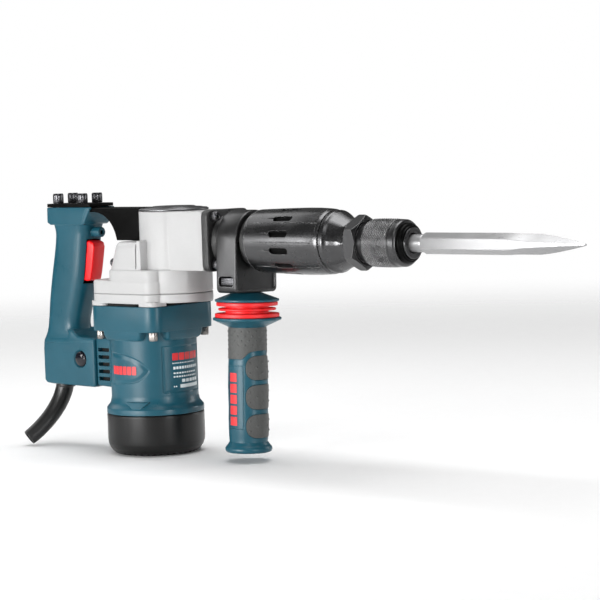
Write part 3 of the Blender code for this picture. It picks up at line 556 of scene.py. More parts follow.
def housing_skin():
    """Outer wall with its leaf mark and label plate moulded in, as a closed ring."""
    k = MOTOR_R * math.pi / 180
    leaf = [(a * k, z) for a, z in smooth_line(LEAF)]
    plate = fillet([(-35.2 * k, 62.6), (38.5 * k, 62.6), (38.5 * k, 108.9), (-35.2 * k, 108.9)], 1.5, 4, True)
    zs = [126, 122, 118, 114, 111] + [110 - 0.5 * i for i in range(129)] + [SEAM_0]
    az = [-180 + 3 * i for i in range(20)] + [-120 + 0.7 * i for i in range(243)] + [50.4 + 3.6 * i for i in range(36)]
    bm = bmesh.new()
    rows = []
    for z in zs:
        r = next(r0 + (r1 - r0) * (z0 - z) / (z0 - z1) for (z0, r0), (z1, r1) in zip(HOUSING_LINE, HOUSING_LINE[1:])
                 if z0 + 1e-6 >= z >= z1 - 1e-6)
        row = []
        for a in az:
            sunk = 0.0
            if 60 < z < 112 and -120 < a < 50:
                if a < -40:
                    d = side_of(leaf, a * k, z)
                    fade = max(0.0, min(1.0, (a + 118) / 8))
                    sunk = fade * (0.85 * max(0.0, min(1.0, (d + 0.35) / 0.7)) - 0.6 * max(0.0, min(1.0, (d - 0.9) / 3.5)))
                else:
                    d = side_of(plate, a * k, z)
                    sunk = 0.6 * max(0.0, min(1.0, (d + 0.35) / 0.7)) - 0.25 * max(0.0, min(1.0, (d - 0.8) / 1.5))
            wide = 12.6 * (z - 45.6) / 8.4
            if z < 54.1 and abs((a + 69.5) * k) < wide:
                sunk = min(sunk, r - (46.4 + 2.4 * (54.0 - z) / 8.4))
            q = math.radians(a)
            row.append(bm.verts.new(((r - sunk) * math.cos(q), (r - sunk) * math.sin(q), z)))
        rows.append(row)
    for z in (zs[-1], zs[0]):
        rows.append([bm.verts.new((42.0 * math.cos(math.radians(a)), 42.0 * math.sin(math.radians(a)), z)) for a in az])
    for a, b in zip(rows, rows[1:] + rows[:1]):
        for j in range(len(az)):
            q = (j + 1) % len(az)
            bm.faces.new((a[j], a[q], b[q], b[j]))
    return shape(bm)


def motor_housing():
    ob = lathe([(42.6, 140), (42.6, 58), (43.4, 53), (44.6, 49.6), (46.4, 47.2), (48.0, 46.2), (48.4, 45.8), (48.4, SEAM_0 + 0.3),
                (39.5, SEAM_0 + 0.3), (39.5, 140)], 128, ring=True, soft=0)
    collar = slab(rounded(-46, 46, -46, 46, 14, 12), 124.5, COLLAR_Z1, edge=0.7)
    arm = slab(fillet([(-67, 64.5), (-36, 63), (-36, 113), (-67, 113)], 2.2, 4, True), -15.5, 15.5, axis="Y", edge=2.0, n=4)
    join(ob, collar, belly(26, 45.9), belly(45.9, 26), arm)
    bore = disc(39.5, 44, 170, steps=128)
    inner = slab(rounded(-42, 42, -42, 42, 11), 146.5, 160)
    holes = [disc(3.2, 100, 160, steps=24, at=(i * BOLT[0], j * BOLT[1], 0)) for i in (-1, 1) for j in (-1, 1)]
    cut(ob, bore, inner, *holes)
    cut(ob, *[slab(fillet([(-64, z), (-48, z), (-48, z + 3.9), (-64, z + 3.9)], 0.9, 3, True), -18, 18, axis="Y")
              for z in (70 + 7.4 * i for i in range(5))])
    piece("motor_housing_shell", merge(ob, housing_skin()), "teal_plastic", "motor_housing", smooth=38)
    # black block behind the louvre slots: painted shade, dark where the slots would only be in shade
    piece("louvre_painted_shade", block((-64.6, -9.5, 67), (-45, 9.5, 107), edge=1), None, like="motor_housing", look=FOAM_AND_PAINTED_SHADE)
    r = MOTOR_R - 0.3
    rows = ((92.4, 91.2, -21, 20, 1.4), (88.4, 85.6, -20, 30, 2.6), (82.6, 81.0, -20, 24, 2.3), (79.0, 77.4, -20, 25, 2.1),
            (75.4, 72.2, -7, 28, 4.0), (70.2, 66.8, -10, 31, 40.0), (69.2, 67.8, -20, -14, 2.0))
    piece("rating_bars", merge(*[o for z1, z0, a0, a1, w in rows for o in dashes(r, a0, a1, z0, z1, w)]), None,
          like="motor_housing", look=PRINT)
    piece("badge_bars", merge(*dashes(r, -21, 30, 94.6, 101.8, 6.2), *dashes(r + 0.3, -113, -69, 81.4, 89.8, 5.2)), None,
          like="motor_housing", look=MARK)


def dashes(r, a0, a1, z0, z1, wide, gap=0.9):
    """Row of plain bars on a turned wall, between two angles in degrees."""
    k = math.pi * r / 180
    n = max(1, round((a1 - a0) * k / (wide + gap)))
    pitch = (a1 - a0) * k / n
    soft = min(0.5, 0.3 * (z1 - z0))
    return [wrap(fillet([(a0 * k + pitch * i, z0), (a0 * k + pitch * (i + 1) - gap, z0), (a0 * k + pitch * (i + 1) - gap, z1),
                         (a0 * k + pitch * i, z1)], soft, 2, True), r - 1.4, r) for i in range(n)]


def smooth_line(pts, per=4):
    return [tuple(p) for p in smooth_rows(pts, per)]


def screw(at, rot, r, head, shank_r, shank, teeth=30):
    """Socket-head screw with a knurled head standing on z = 0."""
    flutes = [(r * (1.0 if i % 2 else 0.955) * math.cos(TAU * i / (2 * teeth)),
               r * (1.0 if i % 2 else 0.955) * math.sin(TAU * i / (2 * teeth))) for i in range(2 * teeth)]
    rings = []
    for z, k in ((0, 0.95), (0.5, 1.0), (head * 0.8, 1.0), (head * 0.93, 0.955), (head, 0.87)):
        if k < 0.95:
            rings.append([(x * k, y * k, z) for x, y in circle(0, 0, r, 2 * teeth)])
        else:
            rings.append([(x * k, y * k, z) for x, y in flutes])
    ob = loft(rings)
    join(ob, disc(shank_r, -shank, 0.3, steps=24))
    cut(ob, slab(circle(0, 0, r * 0.52, 6), head * 0.42, head + 1), disc(r * 0.3, head * 0.3, head, steps=16))
    ob.data.transform(Matrix.LocRotScale(Vector(at), Euler(rot), None))
    return ob


def fasteners():
    n = 0
    for i in (-1, 1):
        for j in (-1, 1):
            n += 1
            piece("motor_bolt_head_%d" % n, screw((i * BOLT[0], j * BOLT[1], 124.2), (math.pi, 0, 0), 4.3, 8.4, 2.9, 36),
                  "screw_bright", "motor_bolt_%d" % n)
            piece("barrel_bolt_head_%d" % n, screw((span("barrel_bolt_1")[0].x + 15, i * 21.3, 214.7 + j * 23.2), ALONG,
                                                   4.7, 6, 2.6, 15), "screw_dark", "barrel_bolt_%d" % n)
            piece("handle_screw_head_%d" % n, screw((-101.5 + 17.8 * i, 10.5 * j, 251.1), (0, 0, 0), 5.5, 10, 2.8, 15, 22),
                  "screw_dark", "handle_screw_%d" % n)
    for k, y in enumerate((-26, 26)):
        ob = lathe([(0, 4.2), (2.8, 4.0), (4.2, 2.4), (4.2, 0), (2.0, 0), (2.0, -9), (0, -9)], 32, soft=0.5)
        cut(ob, block((-0.5, -2.2, 2.6), (0.5, 2.2, 5)), block((-2.2, -0.5, 2.6), (2.2, 0.5, 5)))
        ob.data.transform(Matrix.LocRotScale(Vector((-24.5, y, 192)), Euler((0, -math.pi / 2, 0)), None))
        piece("wing_screw_head_%d" % (k + 1), ob, "screw_dark", "wing_screw_%d" % (k + 1))


# ================================================================ gear case
def square(grow=0.0, n=12):
    return rounded(CASE_REAR - grow, 46 + grow, -46 - grow, 46 + grow, 14 + grow, n)


def gear_case_base():
    ob = slab(square(), CASE_Z0 - 0.1, CASE_S0, edge=0.5)
    pads = [slab(rounded(*((CASE_REAR + 0.5, -22) if i < 0 else (22, 45.5)), min(j * 22, j * 45.5), max(j * 22, j * 45.5), 7, 8),
                 149.9, CASE_Z0 + 2) for i in (-1, 1) for j in (-1, 1)]
    join(ob, disc(36.5, CASE_Z0 + 0.6, CASE_S0, at=(CRANK_X, 0, 0), steps=160, soft=0.6), *pads)
    cut(ob, disc(14.9, 140, 172.9, steps=48), disc(8.3, 140, 170, at=(CRANK_X, 0, 0), steps=48),
        *[disc(3.2, 140, 170, at=(i * BOLT[0], j * BOLT[1], 0), steps=24) for i in (-1, 1) for j in (-1, 1)])
    piece("gear_case_foot", ob, "case_paint", "gear_case_base")
    baffle = slab(rounded(-42, 43.5, -21, 21, 3), 149.9, CASE_Z0 - 0.3)
    join(baffle, slab(rounded(-21, 21, -43.5, 43.5, 3), 149.91, CASE_Z0 - 0.31))
    cut(baffle, disc(19, 140, 160, steps=64), disc(9.5, 140, 160, at=(CRANK_X, 0, 0), steps=48))
    piece("air_baffle_plate", baffle, "black_plastic", "air_baffle", look=FOAM_AND_PAINTED_SHADE)


def drum_outline(d=0.0):
    half, r = 29.0 - d, CRANK_R + 0.0 - d
    a0 = math.asin(half / r)
    n = 72
    arc = [(CRANK_X + r * math.cos(a0 + (TAU - 2 * a0) * i / n), r * math.sin(a0 + (TAU - 2 * a0) * i / n)) for i in range(n + 1)]
    return arc + fillet([arc[-1], (99.2 - d, -half), (99.2 - d, half), arc[0]], 0.8, 3)[1:-1]


def crank_case():
    ob = slab(square(), CASE_S1, 175.4, edge=2.2, edge0=0.4, n=5)
    ledge = 186.0
    step = [(x, y) for x, y in rounded(-20, 45, -45.6, 45.6, 12, 10)]
    parts = [disc(36.5, CASE_S1 + 0.01, ledge, at=(CRANK_X, 0, 0), steps=160, soft=1.6),
             slab(step, 170, ledge - 0.1, edge=1.5, n=5),
             slab(drum_outline(), ledge - 0.6, CASE_Z1, edge=0.5)]
    rear = []
    for z, x, half, r in ((172, -30.5, 44.7, 22), (175.6, -28.8, 44.6, 22), (178, -27.2, 44.5, 22), (182, -25.8, 44.5, 22),
                          (190, -23.2, 44.3, 22), (198, -20.5, 44, 22), (203, -18.6, 44, 22), (207, -17.5, 43.9, 22),
                          (209.6, -16.6, 43.5, 22), (211.6, -15.4, 42.5, 21), (212.8, -14.2, 41.2, 20.5), (213.2, -13, 40, 20)):
        rear.append([(a, b, z) for a, b in rounded(x, 26, -half, half, r, 12, 3)])
    join(ob, *parts, loft(rear))
    ears = [slab(fillet([(23.6, 184), (29.0, 184), (29.0, 215), (23.6, 215)], 2.4, 5, True),
                 min(j * 30, j * 43.8), max(j * 30, j * 43.8), axis="Y", edge=0.5) for j in (-1, 1)]
    join(ob, *ears)
    slits = [block((x, min(j * 38, j * 50), 187.2), (x + 1.2, max(j * 38, j * 50), 212.0)) for x in (22.4, 29.0) for j in (-1, 1)]
    chamber = [disc(32.6, 150, 176.6, at=(CRANK_X, 0, 0), steps=96), disc(8.2, 150, 176.59, steps=48),
               disc(28.5, 176, 250, at=(CRANK_X, 0, 0), steps=96), disc(17.6, 50, 110, steps=64, **TOOL)]
    bolts = [disc(2.9, 88, 110, at=(0, i * 21.3, 214.7 + j * 23.2), rot=ALONG, steps=24) for i in (-1, 1) for j in (-1, 1)]
    screws = [disc(2.3, -40, -12, at=(0, i * 26, 192), rot=ALONG, steps=24) for i in (-1, 1)]
    cut(ob, *chamber, *bolts, *screws, *slits)
    piece("crank_case_casting", ob, "case_paint", "crank_case")


def lid():
    top = LID_Z
    ob = lathe([(0, top - 0.3), (17.5, top - 0.3), (18.3, top), (20.6, top), (22.6, top - 0.9), (27, top - 1.2), (28.5, top - 1.2),
                (29.2, top - 1.7), (33.2, top - 1.9), (CRANK_R, top - 2.8), (CRANK_R, CASE_Z1 + 0.3), (28.2, CASE_Z1 + 0.3),
                (28.2, 240), (25, 240), (25, 243.5), (0, 243.5)], 128, soft=0.35, at=(CRANK_X, 0, 0))
    piece("crank_lid_cap", ob, "lid_metal", "crank_lid")


# ================================================================ barrel
def barrel():
    ob = slab(rounded(-30.5, 30.5, 184.5, 244.2, 7, 8), FLANGE_X0, 107.5, axis="X", edge=0.9)
    neck = lathe([(0, 239), (23.4, 239), (23.4, 149.6), (26.5, 149.6), (26.5, 145), (23.4, 145), (23.4, 112.5),
                  (23.9, 110.2), (25.2, 107.4), (25.2, 104), (0, 104)], 96, soft=0.4, **CASTING)
    join(ob, neck)
    cut(ob, disc(16.2, 80, 260, steps=64, **TOOL),
        *[disc(2.9, 90, 112, at=(0, i * 21.3, 214.7 + j * 23.2), rot=ALONG, steps=24) for i in (-1, 1) for j in (-1, 1)],
        *[disc(5.6, 106.9, 110, at=(0, i * 21.3, 214.7 + j * 23.2), rot=ALONG, steps=40) for i in (-1, 1) for j in (-1, 1)])
    piece("barrel_casting_body", ob, "barrel_casting", "barrel")


COVER_LINE = [(30.0, 243.7), (30.6, 240.5), (31.1, 235), (31.6, 225), (31.7, 212), (31.55, 200), (31.2, 186), (30.7, 168),
              (30.2, 153), (29.9, 150.3)]


def about_barrel(ob, degrees):
    """From a body drawn about Z to the barrel's own line, turned so that angles run from +Y to +Z."""
    ob.data.transform(Matrix.Translation((0, 0, BARREL_Z)) @ Matrix.Rotation(math.radians(degrees), 4, "X")
                      @ Matrix.Rotation(math.pi / 2, 4, "Y"))
    return ob


def barrel_cover():
    outer = [(29.2, COVER_X1), (29.8, COVER_X1 - 0.5)] + COVER_LINE[1:-1] + [(29.9, COVER_X0 + 0.6), (29.3, COVER_X0)]
    ob = lathe(outer + [(26.8, COVER_X0), (26.8, COVER_X1)], 192, ring=True, soft=0)
    slot = fillet([(-3.1, 185), (3.1, 185), (3.1, 208.4), (-3.1, 208.4)], 3.0, 6, True)
    cut(ob, *[wrap([(x * 36 / 31.4, z) for x, z in slot], 22, 36, turn=30 * i) for i in range(12)])
    seams = [wrap([(-0.45, 154), (0.45, 154), (0.45, 239), (-0.45, 239)], 30.4, 34, turn=a)
             for a in (34.5, 129.5, 164.5, 213.5, 309.5, 344.5)]
    hoop = [lathe([(33, x + 0.28), (33, x - 0.28), (r, x - 0.28), (r, x + 0.28)], 192, ring=True, soft=0)
            for x, r in ((COVER_X1 - 3.4, 30.5), (COVER_X0 + 3.6, 29.9))]
    cut(ob, *seams)
    cut(ob, *hoop)
    # a body drawn about Z has its 0 degrees on -Z once laid along X
    piece("barrel_shell", about_barrel(ob, 14.5 + 90), "cover_black", "barrel_cover")
    # black ring under the slots: painted shade, so the slots read dark
    slot_shade = lathe([(27.2, 184), (28.3, 184), (28.3, 209.4), (27.2, 209.4)], 96, ring=True, soft=0)
    piece("cover_slot_painted_shade", about_barrel(slot_shade, 0), None, like="barrel_cover", look=LOOKS["black_plastic"])


def nose():
    drop = TOOL_Z - BARREL_Z
    prof = ((NOSE_X0, 28.4, 0), (NOSE_X0 + 0.7, 29.3, 0), (248.4, 29.5, 0.0), (249.4, 29.0, 0.05), (250.0, 28.3, 0.1),
            (253, 27.1, 0.2), (256, 25.8, 0.45), (259, 24.3, 0.7), (262.5, 22.8, 0.92), (265, 22.1, 1), (267.6, 21.9, 1), (NOSE_X1, 21.3, 1))
    rings = [[(x, r * math.cos(a), BARREL_Z + drop * k + r * math.sin(a)) for a in (TAU * i / 96 for i in range(96))]
             for x, r, k in prof]
    ob = loft(rings)
    # eight flats that lean with the cone
    flats = []
    for x, r, k in ((NOSE_X0 - 3, 34, 0), (249.2, 29.3, 0.02), (251.5, 26.5, 0.1), (265.5, 20.6, 1), (275, 20.6, 1)):
        flats.append([(x, r / math.cos(math.pi / 8) * math.cos(a), BARREL_Z + drop * k + r / math.cos(math.pi / 8) * math.sin(a))
                      for a in (TAU * (i + 0.0) / 8 for i in range(8))])
    common(ob, loft(flats))
    cut(ob, disc(16.2, 240, 280, steps=64, **TOOL))
    piece("nose_cone", ob, "cover_black", "nose")


def chuck():
    hexa = slab([(z, y + TOOL_Z) for y, z in circle(0, 0, 26.0, 6)], HEX_X0, HEX_X0 + 12, axis="X")
    common(hexa, lathe([(0, HEX_X0 + 12), (22.6, HEX_X0 + 12), (25.4, HEX_X0 + 10.4), (26.2, HEX_X0 + 9), (26.2, HEX_X0 + 3),
                        (25.4, HEX_X0 + 1.6), (22.8, HEX_X0), (0, HEX_X0)], 96, soft=0.3, **TOOL))
    join(hexa, lathe([(0, HUB_X1), (18.6, HUB_X1), (19, HUB_X1 - 0.5), (19, HEX_X0 + 9), (0, HEX_X0 + 9)], 96, soft=0.3, **TOOL))
    ring = lathe([(21.2, HEX_X0 + 12.5), (21.9, HEX_X0 + 12.5), (21.9, HEX_X0 + 11), (21.2, HEX_X0 + 11)], 96, ring=True, soft=0.2, **TOOL)
    cut(hexa, disc(14.2, 260, 300, steps=64, **TOOL))
    piece("hex_flange_nut", hexa, "chuck_steel", "hex_flange", look=HEX_BLACK)
    piece("hex_flange_ring", ring, "chuck_steel", like="hex_flange")
    knurled_sleeve()
    holder = lathe([(14.4, 334.2), (14.4, HUB_X1 + 0.6), (13.9, HUB_X1 + 0.6), (13.9, 270), (9.0, 270), (9.0, 333.4), (10.2, 334.6),
                    (14.0, 334.6)], 96, ring=True, soft=0.3, **TOOL)
    piece("tool_holder_tube", holder, "chuck_steel", "tool_holder")
    dust = lathe([(18.3, 330.0), (18.3, SLEEVE_X1 + 0.3), (14.8, SLEEVE_X1 + 0.3), (14.8, 333), (15.6, 333), (16.2, 331.2), (17.0, 331.0),
                  (17.6, 331.3)], 96, ring=True, soft=0.3, **TOOL)
    lip = [lathe([(q, 331.2 + 0.5), (q + 0.45, 331.2), (q + 0.45, 330.4), (q, 330.4)], 96, ring=True, soft=0.1, **TOOL) for q in (16.9,)]
    piece("dust_ring_lip", merge(dust, *lip), "black_plastic", "dust_ring")


def knurled_sleeve():
    """Sleeve with a cut diamond knurl behind a smooth band."""
    x0, x1 = SLEEVE_X0, SLEEVE_X1
    body = lathe([(17.0, x1 - 0.5), (18.2, x1), (19.8, x1 - 0.1), (21.0, x1 - 1.1), (21.7, x1 - 2.2), (21.9, x1 - 6.9), (21.0, x1 - 7.7),
                  (21.0, x1 - 8.4), (21.8, x1 - 9.0), (21.8, x0 + 1), (21.4, x0), (19.6, x0), (19.6, x0 + 24), (14.8, x0 + 26),
                  (14.8, x1 - 1.6), (16.0, x1 - 1.6), (16.6, x1 - 0.5)], 128, ring=True, soft=0.25, **TOOL)
    # raised diamonds: peaks of two crossing helices
    bm = bmesh.new()
    around, k0, k1 = 320, x0 + 0.9, x1 - 9.6
    along = int((k1 - k0) / 0.42)
    rows = []
    teeth = 54
    for i in range(along + 1):
        x = k0 + (k1 - k0) * i / along
        row = []
        for j in range(around):
            a = TAU * j / around
            s = (x - k0) / (TAU * 22.2 / teeth)
            u, v = (teeth * a / TAU + s) % 1, (teeth * a / TAU - s) % 1
            h = min(abs(u - 0.5), 0.5) * 2 * min(abs(v - 0.5), 0.5) * 2
            r = 21.2 + 1.4 * min(1.0, h * 1.5)
            if i in (0, along):
                r = 21.4
            row.append(bm.verts.new((x, r * math.cos(a), TOOL_Z + r * math.sin(a))))
        rows.append(row)
    inner = [[bm.verts.new((x, 20.4 * math.cos(TAU * j / around), TOOL_Z + 20.4 * math.sin(TAU * j / around)))
              for j in range(around)] for x in (k1, k0)]
    rows += inner
    for a, b in zip(rows, rows[1:] + rows[:1]):
        for j in range(around):
            q = (j + 1) % around
            bm.faces.new((a[j], a[q], b[q], b[j]))
    knurl = shape(bm)
    ob = merge(body, knurl)
    piece("chuck_sleeve_knurled", ob, "chuck_steel", "chuck_sleeve", smooth=25)


def sleeve_spring():
    """Light coil of three turns for the sleeve spring."""
    lo, hi = span("sleeve_spring")
    x0, x1, turns = lo.x + 0.9, hi.x - 0.9, 3
    path = [Vector((x0 + (x1 - x0) * i / (turns * 24), 17 * math.cos(TAU * i / 24), TOOL_Z + 17 * math.sin(TAU * i / 24)))
            for i in range(turns * 24 + 1)]
    ob = piece("sleeve_spring_coil", wire(path, [0.75] * len(path), 12), "machined_steel", "sleeve_spring")
    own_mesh(ob)


def chisel():
    def hexring(x, r, turn=30, n=1):
        return [(x, r * math.cos(math.radians(60 * i + turn)), TOOL_Z + r * math.sin(math.radians(60 * i + turn))) for i in range(6)]

    def sect(x, hy, hz, k):
        return [(x, hy, TOOL_Z + hz * k), (x, 0, TOOL_Z + hz), (x, -hy, TOOL_Z + hz * k),
                (x, -hy, TOOL_Z - hz * k), (x, 0, TOOL_Z - hz), (x, hy, TOOL_Z - hz * k)]
    rings = [hexring(345.5, 7.9), hexring(346.6, 9.2), hexring(348, 9.9), hexring(440, 9.9), sect(446, 8.5, 9.5, 0.47), sect(455, 8.3, 9.3, 0.36),
             sect(474, 7.2, 9.3, 0.24), sect(488, 5.7, 7.4, 0.2), sect(500, 4.2, 5.2, 0.2), sect(510, 2.6, 3.2, 0.25),
             sect(516, 1.6, 1.9, 0.35), sect(TIP_X, 0.8, 0.9, 0.5)]
    bm = bmesh.new()
    ob = loft(rings)
    bm.from_mesh(ob.data)
    bmesh.ops.triangulate(bm, faces=[f for f in bm.faces if len(f.verts) == 4])
    bmesh.ops.bevel(bm, geom=[e for e in bm.edges if len(e.link_faces) == 2 and e.calc_face_angle(0) > math.radians(14)],
                    offset=0.28, segments=2, affect="EDGES", clamp_overlap=True)
    bm.to_mesh(ob.data)
    bm.free()
    shank = lathe([(0, 347.5), (8.0, 347.5), (8.4, 345.6), (8.2, 344), (8.2, 322), (8.7, 320), (8.7, 290), (8.0, 288), (0, 288)], 64, soft=0.4, **TOOL)
    join(ob, shank)
    piece("chisel_bit", ob, "chisel_steel", "chisel", smooth=24)


# ================================================================ side handle
def leaning(ob, z=0.0):
    """From the clamp's own frame, whose origin is on the barrel's centre line, to the row frame."""
    ob.data.transform(Matrix.Translation((BAND_X, 0, BARREL_Z)) @ Matrix.Rotation(-SWING, 4, "X") @ Matrix.Translation((0, 0, z)))
    return ob


def side_handle():
    low = 163.6 - BARREL_Z
    r = 30.0
    outline = [(r * math.cos(math.radians(a)), r * math.sin(math.radians(a))) for a in range(0, 181, 4)]
    outline += fillet([(-r, -1), (-r, low), (r, low), (r, -1)], 5.0, 6)[1:-1]
    band = slab(outline, -BAND_HALF, BAND_HALF, axis="X", edge=1.2)
    panel = inset(outline, 2.6)
    cut(band, disc(23.75, -30, 30, rot=ALONG, steps=128),
        slab(rounded(-9.7, 9.7, low + 6.4, low + 16.2, 3.4, 6), -40, 40, axis="Y"),
        disc(6.2, low - 5, low + 12, steps=40))
    cut(band, *[slab([(y, z) for y, z in panel if z < 1], min(s * (BAND_HALF - 1.6), s * (BAND_HALF + 2)),
                     max(s * (BAND_HALF - 1.6), s * (BAND_HALF + 2)), axis="X") for s in (1, -1)])
    piece("clamp_band_strap", leaning(band), "cover_black", "clamp_band", look=CLAMP)
    nut = slab(rounded(-8.6, 8.6, -28.6, 28.6, 1.5, 4), low + 7.2, low + 15.2, edge=0.9)
    cut(nut, *[block((-9, min(j * 27.7, j * 30), z), (9, max(j * 27.7, j * 30), z + 0.8)) for z in (low + 9.6, low + 12.2) for j in (-1, 1)])
    join(nut, disc(5, low - 36, low + 10, steps=48))
    piece("clamp_tee_nut", leaning(nut), "screw_dark", "clamp_nut")
    up = lathe([(14.2, -0.3), (14.8, -0.4), (17.5, -1.5), (30.6, -6.4), (31.2, -6.8), (31.2, -8.2), (30.7, -8.7), (5.4, -8.7),
                (5.4, -0.3)], 128, ring=True, soft=0.4)
    piece("upper_flange_disc", leaning(up, low), "teal_plastic", "upper_flange")
    bellows = lathe([(28.4, -9.0), (29.8, -9.6), (29.8, -12.5), (29.3, -12.9), (21, -13.0), (21, -15.0), (27.4, -15.1), (28, -15.6),
                     (28, -16.8), (27.4, -17.3), (21, -17.4), (21, -20.0), (30.7, -20.1), (31.3, -20.6), (31.3, -23.5), (30.7, -24.0),
                     (5.4, -24.0), (5.4, -9.0)], 128, ring=True, soft=0.5)
    piece("vibration_bellows_rings", leaning(bellows, low), "red_rubber", "vibration_bellows")
    grip(low)


GRIP_LINE = [(18.2, -33.6), (18.45, -35.5), (18.5, -40), (18.5, -52), (18.7, -60), (19.2, -68), (19.5, -78), (19.75, -90),
             (19.6, -100), (19.35, -112), (19.6, -122), (19.5, -132), (19.2, -140), (18.9, -144.9)]
PADS = ((-60.7, -84.0), (-88.9, -112.4), (-117.4, -140.2))


def d_pad(top, bottom, x0):
    """Finger pad seen from the side: round towards the palm, open to the front."""
    mid, h = (top + bottom) / 2, (top - bottom) / 2
    pts = [(40, top)]
    for i in range(15):
        a = math.pi / 2 + math.pi * i / 14
        pts.append((x0 + 7.5 + 7.5 * math.cos(a), mid + h * math.copysign(abs(math.sin(a)) ** 0.85, math.sin(a))))
    return pts + [(40, bottom)]


def grip(low):
    core = lathe([(0, -39.5), (5.4, -39.5), (5.4, -24.3), (32.7, -24.3), (33.2, -24.8), (33.2, -26.2), (32.6, -26.8), (20.2, -32.4),
                  (18.9, -33.3)] + [(r - 0.25, z) for r, z in GRIP_LINE]
                 + [(19.2, -145.4), (20.1, -147.2), (21.8, -149), (22.8, -150.7), (22.9, -152.4), (22.3, -154), (20.6, -155), (0, -155)],
                 160, soft=0.45)
    upper = [(-40, -31.0), (-40, -63.8), (6.4, -63.8), (8.6, -62.9), (10.4, -61.0), (12.4, -58.4), (14.7, -56.8), (17.4, -55.9),
             (40, -55.2), (40, -31.0)]
    regions = [fillet(upper, 1.5, 4, True)] + [fillet(d_pad(t, b, 11.4), 1.2, 3, True) for t, b in PADS]
    # a groove runs round each rubber patch, and the rubber is set into it
    trench = lathe([(24, -33.5), (24, -145.2), (18.2, -145.2), (18.2, -33.5)], 160, ring=True, soft=0)
    common(trench, merge(*[slab(inset(o, -0.55), -40, 40, axis="Y") for o in regions]))
    cut(core, trench)
    label = slab(fillet([(-9.6, -131.6), (9.6, -131.6), (9.6, -69.9), (-9.6, -69.9)], 1.2, 4, True), -26, 26, axis="Y")
    band = lathe([(24, -60), (24, -135), (18.75, -135), (18.75, -60)], 160, ring=True, soft=0)
    cut(core, common(band, label))
    rim = slab(fillet([(-8.8, -130.8), (8.8, -130.8), (8.8, -70.7), (-8.8, -70.7)], 1.0, 4, True), -26, 26, axis="Y")
    fill = lathe([(19.05, -60), (19.05, -135), (17.5, -135), (17.5, -60)], 160, ring=True, soft=0)
    join(core, common(fill, rim))
    piece("side_grip_core", leaning(core, low), "teal_plastic", "side_grip")
    skin = lathe([(r + 0.25, z) for r, z in GRIP_LINE] + [(18.1, -144.9), (18.1, -33.6)], 160, ring=True, soft=0)
    common(skin, merge(*[slab(o, -40, 40, axis="Y") for o in regions]))
    dots = []
    for row in range(6):
        z = -37.5 - 4.4 * row
        for k in range(16):
            a = TAU * (k + 0.5 * (row % 2)) / 16
            if z > -53 or math.cos(a) * 19 < 4:
                dots.append(bump_dot(18.85, a, z))
    for t, b in PADS:
        m = (t + b) / 2
        for a, dz in ((0, 5), (0, -5), (0.38, 0), (-0.38, 0), (0.76, 5), (-0.76, 5), (0.76, -5), (-0.76, -5)):
            dots.append(bump_dot(20.0, a, m + dz))
    piece("grip_rubber_pads", leaning(merge(skin, *dots), low), "grip_rubber", "grip_rubber")
    marks = [wrap(fillet([(a, z), (a + 9.5, z), (a + 9.5, z + 8.6), (a, z + 8.6)], 0.8, 3, True), 18.2, 19.3, turn=t)
             for t, a in ((-90, -7.2), (90, -2.3)) for z in (-128.2 + 10.6 * i for i in range(5))]
    piece("grip_badge_bars", leaning(merge(*marks), low), None, like="side_grip", look=MARK)


def bump_dot(r, a, z, size=1.05):
    """Low round dimple on the rubber."""
    rings = [[(r - 0.4 + d, size * k * math.cos(q), size * k * math.sin(q)) for q in (TAU * i / 10 for i in range(10))]
             for d, k in ((0, 1.0), (0.45, 0.95), (0.62, 0.7), (0.72, 0.3))]
    ob = loft(rings)
    ob.data.transform(Matrix.Translation((0, 0, z)) @ Matrix.Rotation(a, 4, "Z"))
    return ob


# ================================================================ rear handle
def rear_arm():
    arc = smooth_line([(-63, 242.2), (-56.5, 241), (-49, 238), (-42.8, 233.5), (-38, 228), (-34.2, 221), (-31.8, 213.5)])
    pts = [(-124.4, 246.2), (-124.4, 242.4)] + arc + [(14, 213.5), (14, 246.2)]
    ob = slab(pts, -15, 15, axis="Y", edge=0.9)
    cut(ob, disc(35.2, 190, 260, at=(CRANK_X, 0, 0), steps=160),
        *[disc(3.1, 230, 260, at=(-101.5 + 17.8 * i, 10.5 * j, 0), steps=24) for i in (-1, 1) for j in (-1, 1)])
    # the arm takes the near-black moulding: painted shade for its unlit side
    piece("rear_arm_arch_painted_shade", ob, "black_plastic", "rear_arm")


def smooth_rows(rows, per):
    """Catmull-Rom through rows of numbers."""
    out = []
    for i in range(len(rows) - 1):
        p0, p1, p2, p3 = rows[max(i - 1, 0)], rows[i], rows[i + 1], rows[min(i + 2, len(rows) - 1)]
        for k in range(per):
            t = k / per
            out.append([0.5 * (2 * b + (c - a) * t + (2 * a - 5 * b + 4 * c - d) * t * t + (3 * b - a - 3 * c + d) * t ** 3)
                        for a, b, c, d in zip(p0, p1, p2, p3)])
    return out + [list(rows[-1])]


